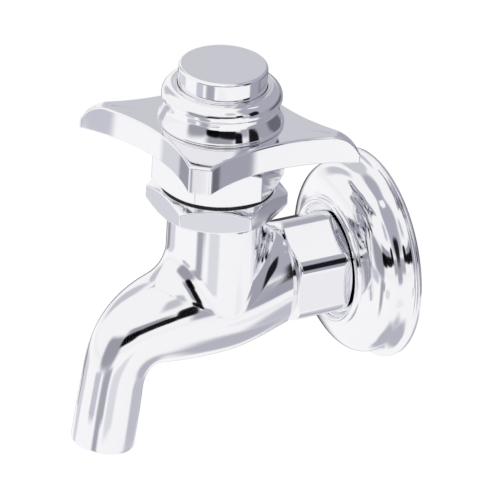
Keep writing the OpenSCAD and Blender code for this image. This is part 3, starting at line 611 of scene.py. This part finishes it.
def collar_profile(head):
    """Collar: foot, flare that two parabolas draw in to a waist, spigot under the ring, cavity and web."""
    foot, low, high, bore = COLLAR_HIGH[0], COLLAR_LOW[2], COLLAR_HIGH[2], head.bonnet_neck + 0.1
    band_top, web, heel, flare_top = RING_LOW[2] - 0.2, low + 2.3, low + 0.9, low + 4.2
    waist, throat, toe = head.band - 0.42, head.band - 0.3, foot - 0.25
    outside = np.vstack([
        [[bore, low], [foot - 0.2, low]],
        curve([foot, low + 0.2], [foot, heel], [toe, heel], 4)[:-1],
        curve([toe, heel], [waist + 0.62, low + 2.5], [throat, flare_top], 20)[:-1],
        curve([throat, flare_top], [waist, low + 4.7], [waist, low + 5.4], 6),
    ])
    corners = [
        [waist, band_top], [head.spigot, band_top], [head.spigot, high], [head.cavity, high],
        [head.cavity, web], [bore, web],
    ]
    points = np.vstack([outside, corners])
    radius = np.concatenate([np.zeros(len(outside)), [0.3, 0.2, 0.2, 0.2, 0.3, 0.2]])
    return rounded(points, radius, 4)


def ring_profile(head):
    """Retaining ring: bored over the spigot, with a rounded shoulder, a fine step and a lip over the button.

    On the shoulder (distance from the step / width)^2 + (height / rise)^2 = 1."""
    out, low, high = RING_HIGH[0], RING_LOW[2], RING_HIGH[2]
    lip, bore, step = high - 1.7, head.button + 0.1, 0.22
    a = np.linspace(0, np.pi / 2, 16)
    wide, tall = head.shoulder_width, head.shoulder_height - step
    shoulder = np.stack([out - wide * (1 - np.cos(a)), high - step - tall * (1 - np.sin(a))], 1)
    inner = shoulder[-1, 0]
    seat = head.spigot + 0.1
    ends = [[inner - 0.1, high - step], [inner - 0.15, high], [bore, high], [bore, lip], [seat, lip]]
    points = np.vstack([[[seat, low], [out - 0.3, low], [out, low + 0.3]], shoulder, ends])
    radius = np.concatenate([[0.1, 0.2, 0.2], np.zeros(len(shoulder)), [0.05, 0.12, 0.3, 0.1, 0.1]])
    return rounded(points, radius, 5)


def button_profile(head):
    """Push button: rounded top, skirt, stop flange, hollow and a boss for the stem. Ends on the axis."""
    low, high, out = BUTTON_LOW[2], BUTTON_HIGH[2], BUTTON_HIGH[0]
    inner, ceiling = head.button - head.button_wall, high - head.button_top
    flange, boss, socket = low + 1.3, 4.4, 2.55
    corners = [
        [0, high], [head.button, high], [head.button, flange], [out, flange], [out, low], [inner, low],
        [inner, ceiling], [boss, ceiling], [boss, ceiling - 2], [socket, ceiling - 2], [socket, ceiling + 1],
        [0, ceiling + 1],
    ]
    profile = rounded(corners, [0, 0.8, 0.1, 0.2, 0.2, 0.2, 0.4, 0.2, 0.2, 0.1, 0.1, 0], 8)
    crown = np.linspace(0, 1, 14)[1:-1, None] * (profile[1] - profile[0]) + profile[0]
    return np.vstack([profile[:1], crown, profile[1:]])


def bonnet_profile(head):
    """Bonnet's barrel: threaded end with the timing cylinder, and the neck with its packing chamber above."""
    low, high, step = BONNET_LOW[2], BONNET_HIGH[2], GRIP_LOW[2]
    hole, packing_floor, cylinder_top = 4.5, step + 0.8, step - 3.7
    corners = [
        [head.cylinder, low], [head.barrel, low], [head.barrel, GASKET_HIGH[2] + 1],
        [head.bonnet_neck, step - 2], [head.bonnet_neck, high], [head.packing, high],
        [head.packing, packing_floor], [hole, packing_floor], [hole, cylinder_top],
        [head.cylinder, cylinder_top],
    ]
    return rounded(corners, 0.2, 4)


def spring_surface(head, per_turn=72, sides=16):
    """Open helix of round wire: centre (R cos a, R sin a, rising evenly), ring of wire radius across it."""
    count = int(head.turns * per_turn)
    share = np.linspace(0, 1, count)[:, None]
    a = share * head.turns * TURN
    b = np.linspace(0, TURN, sides, endpoint=False)
    wire = np.concatenate([[0], np.full(count - 2, head.wire / 2), [0]])[:, None]
    low, high = SPRING_LOW[2] + head.wire / 2, SPRING_HIGH[2] - head.wire / 2
    r = head.spring + wire * np.cos(b)
    return on_axis(r * np.cos(a), r * np.sin(a), low + (high - low) * share + wire * np.sin(b))


# Meshes


def grid_faces(rows, columns, wrap_rows):
    """Corner numbers of the quads of a grid whose columns wrap, and whose rows wrap where asked."""
    i = np.arange(rows if wrap_rows else rows - 1)[:, None]
    j = np.arange(columns)[None]
    on, beside = (i + 1) % rows, (j + 1) % columns
    corners = [i * columns + j, i * columns + beside, on * columns + beside, on * columns + j]
    return np.stack(np.broadcast_arrays(*corners), -1).reshape(-1, 4)


def add_mesh(name, points, faces, material):
    """A mesh object at the origin, from points in metres."""
    mesh = bpy.data.meshes.new(name)
    mesh.from_pydata(points.reshape(-1, 3).tolist(), [], faces)
    mesh.materials.append(material)
    made = bpy.data.objects.new(name, mesh)
    bpy.context.scene.collection.objects.link(made)
    return made


def add_piece(name, grid, material, node, body="tap", poles=False, flats=False):
    """A closed piece from a grid of points in mm.

    With poles the first and last rows become one point each. With flats the larger faces steer the shading,
    so that a flat face stays flat up to its rounded edge."""
    rows, columns = grid.shape[:2]
    if poles:
        points = np.vstack([grid[1:-1].reshape(-1, 3), grid[0, :1], grid[-1, :1]])
        faces = grid_faces(rows - 2, columns, False).tolist()
        j = np.arange(columns)
        beside, last = (j + 1) % columns, (rows - 3) * columns
        first_pole = np.full(columns, (rows - 2) * columns)
        faces += np.stack([beside, j, first_pole], 1).tolist()
        faces += np.stack([last + j, last + beside, first_pole + 1], 1).tolist()
    else:
        points, faces = grid.reshape(-1, 3), grid_faces(rows, columns, True).tolist()
    if not np.isfinite(points).all():
        raise RuntimeError(f"{name}: a point of its surface isn't a number")
    piece = add_mesh(name, points * MM, faces, material)
    mesh, form = piece.data, bmesh.new()
    form.from_mesh(mesh)
    bmesh.ops.remove_doubles(form, verts=form.verts, dist=1e-7)
    bmesh.ops.recalc_face_normals(form, faces=form.faces)
    form.to_mesh(mesh)
    form.free()
    mesh.polygons.foreach_set("use_smooth", np.ones(len(mesh.polygons), bool))
    if flats:
        weighted = piece.modifiers.new("Even Faces", "WEIGHTED_NORMAL")
        weighted.mode, weighted.weight = "FACE_AREA", 50
    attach(piece, body)
    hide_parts(node)
    return piece


# Finishes


def add_node(tree, kind, values=None, links=None, **settings):
    """Adds a node with its settings, its input values and its links."""
    node = tree.nodes.new(kind)
    for key, value in settings.items():
        setattr(node, key, value)
    for key, value in (values or {}).items():
        node.inputs[key].default_value = value
    for key, socket in (links or {}).items():
        tree.links.new(socket, node.inputs[key])
    return node


def new_material(name):
    """A new material and its node tree."""
    material = bpy.data.materials.new(name)
    material.use_nodes = True
    return material, material.node_tree


def finish(name, rgb, metallic, roughness, grain, bump, stretch=(1, 1, 1), tint=None):
    """A finish with roughness, and where asked a tint, that follow one noise whose grain is given in mm.

    roughness is its lowest and highest value, bump the height in mm that the grain stands, and stretch
    how much finer the grain is along each axis."""
    material = bpy.data.materials.get(name)
    if material:
        return material
    material, tree = new_material(name)
    shader = tree.nodes["Principled BSDF"]
    shader.inputs["Metallic"].default_value = metallic
    shader.inputs["Base Color"].default_value = (*rgb, 1)
    place = add_node(tree, "ShaderNodeTexCoord").outputs["Object"]
    scale = tuple(s / (grain * MM) for s in stretch)
    spread = add_node(tree, "ShaderNodeMapping", {"Scale": scale}, {"Vector": place}).outputs[0]
    cloud = {"Scale": 1.0, "Detail": 3.0, "Roughness": 0.5}
    noise = add_node(tree, "ShaderNodeTexNoise", cloud, {"Vector": spread}).outputs[0]
    span = {"From Min": 0.3, "From Max": 0.7, "To Min": roughness[0], "To Max": roughness[1]}
    rough = add_node(tree, "ShaderNodeMapRange", span, {"Value": noise})
    tree.links.new(rough.outputs[0], shader.inputs["Roughness"])
    relief = add_node(tree, "ShaderNodeBump", {"Strength": 1.0, "Distance": bump * MM}, {"Height": noise})
    tree.links.new(relief.outputs[0], shader.inputs["Normal"])
    if tint is not None:
        ends = {"A": (*rgb, 1), "B": (*tint, 1)}
        shade = add_node(tree, "ShaderNodeMix", ends, {"Factor": noise}, data_type="RGBA")
        tree.links.new(shade.outputs["Result"], shader.inputs["Base Color"])
    return material


def plate(name, roughness, grain, bump, stretch=(1, 1, 1)):
    """Chrome plate in the colour of the finishes."""
    return finish(name, bpy.context.scene.tap_finishes.chrome, 1, roughness, grain, bump, stretch)


def cast_chrome():
    """Chrome plate over a hand-polished casting: a mirror with faint long waves from the buffing wheel."""
    return plate("polished_chrome_casting", (0.045, 0.085), 9, 0.012)


def turned_chrome():
    """Chrome plate over turned brass: a mirror, with fine polishing rings that only soften the highlights."""
    return plate("polished_chrome_turned", (0.04, 0.075), 6, 0.0015, (1, 1, 9))


def pressed_chrome():
    """Chrome plate over pressed sheet: a mirror with the slightest ripple from the press tool."""
    return plate("polished_chrome_pressed", (0.045, 0.08), 14, 0.01)


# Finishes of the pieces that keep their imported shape, by the record's slot: name, colour, metallic,
# roughness, grain and bump in mm, stretch, and the share to which the grain darkens the colour
EVEN, RINGED = (1, 1, 1), (1, 1, 9)
PLAIN_FINISHES = {
    # Warm and half bright, with fine lathe rings that draw the highlights out
    "bare_brass": ("turned_brass", "brass", 1, (0.2, 0.36), 3, 0.004, (1, 1, 8), 0.82),
    # Nearly black and matt, with the mould's fine grit
    "black_rubber": ("moulded_rubber", "rubber", 0, (0.55, 0.8), 0.8, 0.02, EVEN, 0.6),
    # Cool grey, with fine lathe rings
    "stainless_steel": ("turned_stainless", "stainless", 1, (0.22, 0.36), 3, 0.003, RINGED, 0.85),
    # Dull grey wire with drawing marks
    "spring_steel": ("drawn_spring_wire", "wire", 1, (0.25, 0.4), 1.5, 0.004, EVEN, 0.75),
    # Off-white with a soft waxy sheen
    "white_nylon": ("moulded_nylon", "nylon", 0, (0.35, 0.5), 2, 0.004, EVEN, 0.9),
    # Brick red and matt, mottled by its pressed fibres
    "red_fibre": ("pressed_red_fibre", "fibre", 0, (0.6, 0.85), 0.7, 0.02, EVEN, 0.6),
}


def plain_finish(slot):
    """The plain finish of a slot, with a darker neighbour of its colour in the grain."""
    name, colour_name, metallic, roughness, grain, bump, stretch, darker = PLAIN_FINISHES[slot]
    rgb = getattr(bpy.context.scene.tap_finishes, colour_name)
    tint = tuple(darker * c for c in rgb)
    return finish(name, rgb, metallic, roughness, grain, bump, stretch, tint)


NODE_SLOTS = {
    "bare_brass": (
        "valve_cage", "gland_washer", "gland_nut", "button_locknut", "cup_follower", "piston", "piston_nut",
        "disc_holder", "disc_nut",
    ),
    "black_rubber": ("strainer_washer", "stem_oring", "piston_cup", "valve_disc", "bonnet_gasket"),
    "stainless_steel": ("inlet_strainer", "spring_washer", "stem"),
    "white_nylon": ("guide_bush",),
    "red_fibre": ("cage_gasket",),
}


# Operators


class TAP_OT_cast_body(bpy.types.Operator):
    """Cast body: waterway, neck with its blend, body hexagon, inlet hexagon and threaded tail"""

    bl_idname = "tap.cast_body"
    bl_label = "Cast Body"

    def execute(self, context):
        body, inlet = sizes(context.scene.tap_body), sizes(context.scene.tap_inlet)
        way, chrome = Waterway(body, inlet), cast_chrome()
        bonnet_bores, tail_bores = (11.1, 11.4), (9, 9)
        add_piece("spout_waterway", waterway_surface(way), chrome, "spout_body", poles=True)
        add_piece("spout_neck", neck_surface(way), chrome, "spout_body")
        low, high = body.neck_top, GASKET_LOW[2]
        bar = hexagon_bar(body.hexagon, body.corner, body.edge, low, high, bonnet_bores)
        add_piece("body_hexagon", bar, chrome, "spout_body", flats=True)
        low, high, turn = inlet.seat, inlet.hexagon_front, inlet.hexagon_turn
        bar = hexagon_bar(inlet.hexagon, inlet.corner, body.edge, low, high, tail_bores, turn, inlet=True)
        add_piece("inlet_hexagon", bar, chrome, "spout_body", flats=True)
        add_piece("threaded_tail", threaded_tail(inlet), turned_chrome(), "spout_body")
        return {"FINISHED"}


class TAP_OT_wall_flange(bpy.types.Operator):
    """Domed wall flange with its recess and rolled lip"""

    bl_idname = "tap.wall_flange"
    bl_label = "Wall Flange"

    def execute(self, context):
        grid = turned(flange_profile(sizes(context.scene.tap_inlet)), 224, inlet=True)
        add_piece("flange_dome", grid, pressed_chrome(), "wall_flange")
        return {"FINISHED"}


class TAP_OT_bonnet(bpy.types.Operator):
    """Bonnet: hexagon, and the barrel with the timing cylinder and the packing chamber"""

    bl_idname = "tap.bonnet"
    bl_label = "Bonnet"

    def execute(self, context):
        body, head = sizes(context.scene.tap_body), sizes(context.scene.tap_head)
        low, high, bores = GASKET_HIGH[2], GRIP_LOW[2], (9.4, 10.9)
        bar = hexagon_bar(head.hexagon, body.corner, body.edge, low, high, bores, head.hexagon_turn)
        add_piece("bonnet_hexagon", bar, cast_chrome(), "bonnet", flats=True)
        add_piece("bonnet_barrel", turned(bonnet_profile(head), 128), turned_chrome(), "bonnet")
        return {"FINISHED"}


class TAP_OT_grip(bpy.types.Operator):
    """Four-pointed finger grip with scalloped sides and a hollow underside"""

    bl_idname = "tap.grip"
    bl_label = "Finger Grip"

    def execute(self, context):
        grid = grip_surface(sizes(context.scene.tap_head))
        add_piece("finger_grip", grid, cast_chrome(), "wing_grip", flats=True)
        return {"FINISHED"}


class TAP_OT_collar(bpy.types.Operator):
    """Flared collar and the retaining ring that screws on to it"""

    bl_idname = "tap.collar"
    bl_label = "Collar and Ring"

    def execute(self, context):
        head = sizes(context.scene.tap_head)
        collar = turned(collar_profile(head), 224)
        add_piece("flared_collar", collar, turned_chrome(), "collar", flats=True)
        ring = turned(ring_profile(head), 224)
        add_piece("ring_shoulder", ring, turned_chrome(), "retaining_ring", flats=True)
        return {"FINISHED"}


class TAP_OT_button(bpy.types.Operator):
    """Push button that moves with the stem, and the return spring under it"""

    bl_idname = "tap.button"
    bl_label = "Button and Spring"

    def execute(self, context):
        head = sizes(context.scene.tap_head)
        grid = turned(button_profile(head), 224)
        add_piece(
            "button_cap", grid, turned_chrome(), "push_button", "plunger", poles=True, flats=True
        )
        coil, slot = spring_surface(head), "spring_steel"
        spring = add_piece("coil_spring", coil, plain_finish(slot), "return_spring", poles=True)
        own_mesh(spring)
        return {"FINISHED"}


class TAP_OT_inner_finishes(bpy.types.Operator):
    """Finishes of the valve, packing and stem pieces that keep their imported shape"""

    bl_idname = "tap.inner_finishes"
    bl_label = "Inner Finishes"

    def execute(self, context):
        for slot, names in NODE_SLOTS.items():
            for name in names:
                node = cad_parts[name]
                if not node.material_slots:
                    raise RuntimeError(f"{name} has no material slot")
                for place in node.material_slots:
                    place.material = plain_finish(slot)
        return {"FINISHED"}


# Stage


def seen_rays(tree):
    """1 for rays that come from the camera, a mirror or glass, and 0 for the rest."""
    path = add_node(tree, "ShaderNodeLightPath").outputs
    seen = path["Is Camera Ray"]
    for kind in ("Is Glossy Ray", "Is Transmission Ray"):
        either = {0: seen, 1: path[kind]}
        seen = add_node(tree, "ShaderNodeMath", links=either, operation="MAXIMUM").outputs[0]
    return seen


def floor_paint(rgb):
    """Matt white studio floor: paler to the camera and to mirrors, yet a soft shadow still shows on it."""
    material, tree = new_material("matt_floor_paint")
    shader, output = tree.nodes["Principled BSDF"], tree.nodes["Material Output"]
    shader.inputs["Base Color"].default_value = (*rgb, 1)
    shader.inputs["Roughness"].default_value = 0.9
    glow = add_node(tree, "ShaderNodeEmission", {"Color": (1, 1, 1, 1), "Strength": 1.0})
    share = add_node(tree, "ShaderNodeMath", {1: 0.85}, {0: seen_rays(tree)}, operation="MULTIPLY")
    both = add_node(
        tree, "ShaderNodeMixShader", links={0: share.outputs[0], 1: shader.outputs[0], 2: glow.outputs[0]}
    )
    clear = add_node(tree, "ShaderNodeBsdfTransparent")
    under = add_node(tree, "ShaderNodeNewGeometry").outputs["Backfacing"]
    top = add_node(tree, "ShaderNodeMixShader", links={0: under, 1: both.outputs[0], 2: clear.outputs[0]})
    tree.links.new(top.outputs[0], output.inputs["Surface"])
    return material


def studio_floor(stage):
    """Flat floor S(u, v) = (u, v, -drop), which keeps shadows and casts none."""
    half = stage.floor_width / 2
    u, v = np.meshgrid([-half, half], [-half, half])
    points = np.stack([u, v, np.full_like(u, -stage.floor_drop)], -1)
    floor = add_mesh("studio_floor", points, [(0, 1, 3, 2)], floor_paint(stage.floor))
    floor.visible_shadow = False


def card_paint(name, rgb):
    """Card of one tone that only mirrors see, thinning out towards its edges as its fade attribute says."""
    material, tree = new_material(name)
    glow = add_node(tree, "ShaderNodeEmission", {"Color": (*rgb, 1), "Strength": 1.0})
    clear = add_node(tree, "ShaderNodeBsdfTransparent")
    fade = add_node(tree, "ShaderNodeAttribute", attribute_name="fade").outputs["Fac"]
    both = add_node(tree, "ShaderNodeMixShader", links={0: fade, 1: clear.outputs[0], 2: glow.outputs[0]})
    tree.links.new(both.outputs[0], tree.nodes["Material Output"].inputs["Surface"])
    return material


# Columns and rows of a card's grid, and the height in mm that the cards are seen from
CARD_GRID, CARD_MIDDLE = (49, 33), 10


def add_card(name, azimuths, elevations, rise, distance, soft, tone, floor_drop):
    """Curved card S(azimuth, elevation) at one distance from the tap, or just above a nearer floor.

    Its last azimuth stands the rise above its first. Its fade is 1 in the middle and falls smoothly to 0 over
    the soft share of its width and height, along superellipses u^4 + v^4 that round its corners. Cards that
    end at the floor lie in layers there, the nearer ones higher."""
    u, v = np.meshgrid(np.linspace(-1, 1, CARD_GRID[0]), np.linspace(-1, 1, CARD_GRID[1]))
    a = np.radians(np.mean(azimuths) + u * np.ptp(azimuths) / 2)
    e = np.radians(np.mean(elevations) + v * np.ptp(elevations) / 2 + u * rise / 2)
    way = np.stack([np.cos(e) * np.cos(a), np.cos(e) * np.sin(a), np.sin(e)], -1)
    middle = np.array([0, -REACH, CARD_MIDDLE]) * MM
    drop = floor_drop + middle[2] - 0.02 * (0.75 - distance)
    to_floor = np.where(e < -0.01, drop / np.maximum(-np.sin(e), 0.01), distance)
    points = middle + np.minimum(distance, to_floor)[..., None] * way
    edge = np.clip((1 - (u**4 + v**4) ** 0.25) / soft, 0, 1)
    rows, columns = a.shape
    i, j = np.arange(rows - 1)[:, None], np.arange(columns - 1)
    first = i * columns + j
    faces = np.stack([first, first + 1, first + columns + 1, first + columns], -1).reshape(-1, 4)
    card = add_mesh(name, points, faces.tolist(), card_paint(name, linear(tone)))
    fade = card.data.attributes.new("fade", "FLOAT", "POINT")
    fade.data.foreach_set("value", (edge**2 * (3 - 2 * edge)).ravel().astype(np.float32))
    card.visible_camera = card.visible_diffuse = card.visible_shadow = False


# Cards that the chrome reflects, as seen from the tap: azimuths, elevations and rise in degrees, distance
# in m, soft share and tone
CARDS = (
    ("dark_front", (-58, -28), (1, 19), 3, 0.56, 0.3, "#0A0A0C"),
    ("dark_front_right", (-38, 5), (6, 20), 2, 0.57, 0.3, "#141418"),
    ("dark_rise", (-3, 13), (8, 31), 0, 0.58, 0.3, "#141418"),
    ("grey_over_dark", (-60, 2), (14, 27), 0, 0.60, 0.4, "#A0A0AA"),
    ("grey_front_left", (-97, -46), (-17, 21), 0, 0.62, 0.4, "#A2A2AC"),
    ("pale_low_left", (-46, -14), (-33, -19), 0, 0.63, 0.5, "#E4E4E9"),
    ("grey_low_left", (-75, -52), (-62, 0), 0, 0.61, 0.7, "#ACACB6"),
    ("grey_left", (-101, -76), (-24, -13), 0, 0.66, 0.4, "#CCCCD6"),
    ("grey_low_front", (-66, -46), (-27, -13), 0, 0.65, 0.5, "#B0B0BA"),
    ("pale_left", (-164, -134), (-36, -14), 0, 0.64, 0.4, "#DCDCE2"),
    ("grey_over", (-24, 6), (34, 62), 0, 0.64, 0.6, "#C8C8D0"),
    ("grey_right", (20, 154), (-19, 15), 0, 0.65, 0.05, "#A6A6B2"),
    ("dim_right", (62, 122), (-14, 8), 0, 0.60, 0.4, "#6C6C76"),
    ("grey_right_foot", (42, 154), (-25.4, -16), 0, 0.64, 0.1, "#A6A6B2"),
    ("grey_front_right", (6, 26), (-5, 18), 0, 0.66, 0.5, "#B0B0BA"),
    ("grey_high_right", (6, 154), (10, 76), 0, 0.67, 0.2, "#B0B0BC"),
    ("grey_mid_right", (38, 136), (-54, -31), 0, 0.66, 0.3, "#C6C6D0"),
    ("white_low_right", (26, 48), (-37, -27), 0, 0.55, 0.4, "#F6F6F8"),
    ("grey_low_right", (12, 128), (-82, -46), 0, 0.68, 0.5, "#BCBCC6"),
    ("white_over", (62, 86), (52, 68), 0, 0.55, 0.4, "#FFFFFF"),
    ("dark_right", (22, 46), (2, 39), 6, 0.59, 0.3, "#1A1A1E"),
    ("pale_behind", (134, 168), (12, 48), 0, 0.61, 0.4, "#D0D0D6"),
    ("dark_behind", (122, 182), (-52, -4), 0, 0.60, 0.6, "#484850"),
    ("grey_behind_left", (-180, -152), (-4, 52), 0, 0.69, 0.5, "#CCCCD4"),
    ("dark_low_behind", (-182, -157), (-32, -19), 0, 0.61, 0.4, "#A0A0AA"),
    ("dark_low_right", (72, 86), (-32, -19), 0, 0.61, 0.4, "#6E6E78"),
)


class TAP_OT_stage(bpy.types.Operator):
    """Pale floor, white surroundings, soft light, reflected cards and the camera"""

    bl_idname = "tap.stage"
    bl_label = "Stage"

    def execute(self, context):
        scene, stage = context.scene, context.scene.tap_stage
        scene.view_settings.view_transform = "Standard"
        studio_floor(stage)
        self.surroundings(scene, stage.daylight)
        self.lights(scene, stage.key)
        for card in CARDS:
            add_card(*card, stage.floor_drop)
        self.camera(scene, stage)
        return {"FINISHED"}

    def surroundings(self, scene, daylight):
        """White world: strength 1 to the camera and mirrors, and the daylight's to the rest."""
        world = bpy.data.worlds.new("white_surroundings")
        scene.world = world
        world.use_nodes = True
        tree = world.node_tree
        plain = tree.nodes["Background"]
        plain.inputs["Color"].default_value = (1, 1, 1, 1)
        plain.inputs["Strength"].default_value = daylight
        white = add_node(tree, "ShaderNodeBackground", {"Color": (1, 1, 1, 1), "Strength": 1.0})
        both = add_node(
            tree, "ShaderNodeMixShader", links={0: seen_rays(tree), 1: plain.outputs[0], 2: white.outputs[0]}
        )
        tree.links.new(both.outputs[0], tree.nodes["World Output"].inputs["Surface"])

    def lights(self, scene, power):
        """Two soft square lamps: name, place in m, side in m and share of the power."""
        middle = Vector((0, -0.04, 0.02))
        for name, place, size, share in (
            ("soft_key", (0.55, -0.75, 1.0), 0.9, 1.0),
            ("soft_fill", (-0.8, -0.3, 0.7), 0.8, 0.5),
        ):
            lamp = bpy.data.lights.new(name, "AREA")
            lamp.energy, lamp.size = power * share, size
            light = bpy.data.objects.new(name, lamp)
            light.location = place
            light.rotation_euler = (middle - Vector(place)).to_track_quat("-Z", "Y").to_euler()
            light.visible_glossy = False
            scene.collection.objects.link(light)

    def camera(self, scene, stage):
        """Camera that looks at the picture's middle from the photo's angle, through a 36 mm wide sensor."""
        level = Vector((cos(stage.azimuth), sin(stage.azimuth), 0))
        ahead = Vector((-level.y, level.x, 0))
        forward = cos(stage.elevation) * ahead - Vector((0, 0, sin(stage.elevation)))
        upright = cos(stage.roll) * level.cross(forward) - sin(stage.roll) * level
        right = forward.cross(upright)
        target = Vector((0, -REACH * MM, 0)) + stage.frame_right * right + stage.frame_up * upright
        lens = bpy.data.cameras.new("photo_camera")
        lens.sensor_fit, lens.sensor_width = "HORIZONTAL", 36
        lens.lens = lens.sensor_width * stage.distance / stage.frame_width
        lens.clip_end = 20
        camera = bpy.data.objects.new("photo_camera", lens)
        turn = Matrix((right, upright, -forward)).transposed().to_4x4()
        camera.matrix_world = Matrix.Translation(target - stage.distance * forward) @ turn
        scene.collection.objects.link(camera)
        scene.camera = camera


OPERATORS = (
    TAP_OT_cast_body, TAP_OT_wall_flange, TAP_OT_bonnet, TAP_OT_grip, TAP_OT_collar, TAP_OT_button,
    TAP_OT_inner_finishes, TAP_OT_stage,
)


class TAP_PT_panel(bpy.types.Panel):
    """The tap's sizes, finishes and pieces"""

    bl_idname = "TAP_PT_panel"
    bl_label = "Push Timed Tap"
    bl_space_type = "VIEW_3D"
    bl_region_type = "UI"
    bl_category = "Tap"

    def draw(self, context):
        for operator in OPERATORS:
            self.layout.operator(operator.bl_idname)
        for key in GROUPS:
            group = getattr(context.scene, key)
            box = self.layout.box()
            for name in group.__annotations__:
                box.prop(group, name)


GROUPS = {
    "tap_body": TapBodySizes,
    "tap_inlet": TapInletSizes,
    "tap_head": TapHeadSizes,
    "tap_finishes": TapFinishes,
    "tap_stage": TapStage,
}


def register():
    for cls in (*GROUPS.values(), *OPERATORS, TAP_PT_panel):
        bpy.utils.register_class(cls)
    for key, group in GROUPS.items():
        setattr(bpy.types.Scene, key, PointerProperty(type=group))


def unregister():
    for key in GROUPS:
        delattr(bpy.types.Scene, key)
    for cls in reversed((*GROUPS.values(), *OPERATORS, TAP_PT_panel)):
        bpy.utils.unregister_class(cls)


def main():
    register()
    for operator in OPERATORS:
        group, name = operator.bl_idname.split(".")
        getattr(getattr(bpy.ops, group), name)()


if __name__ == "__main__":
    main()
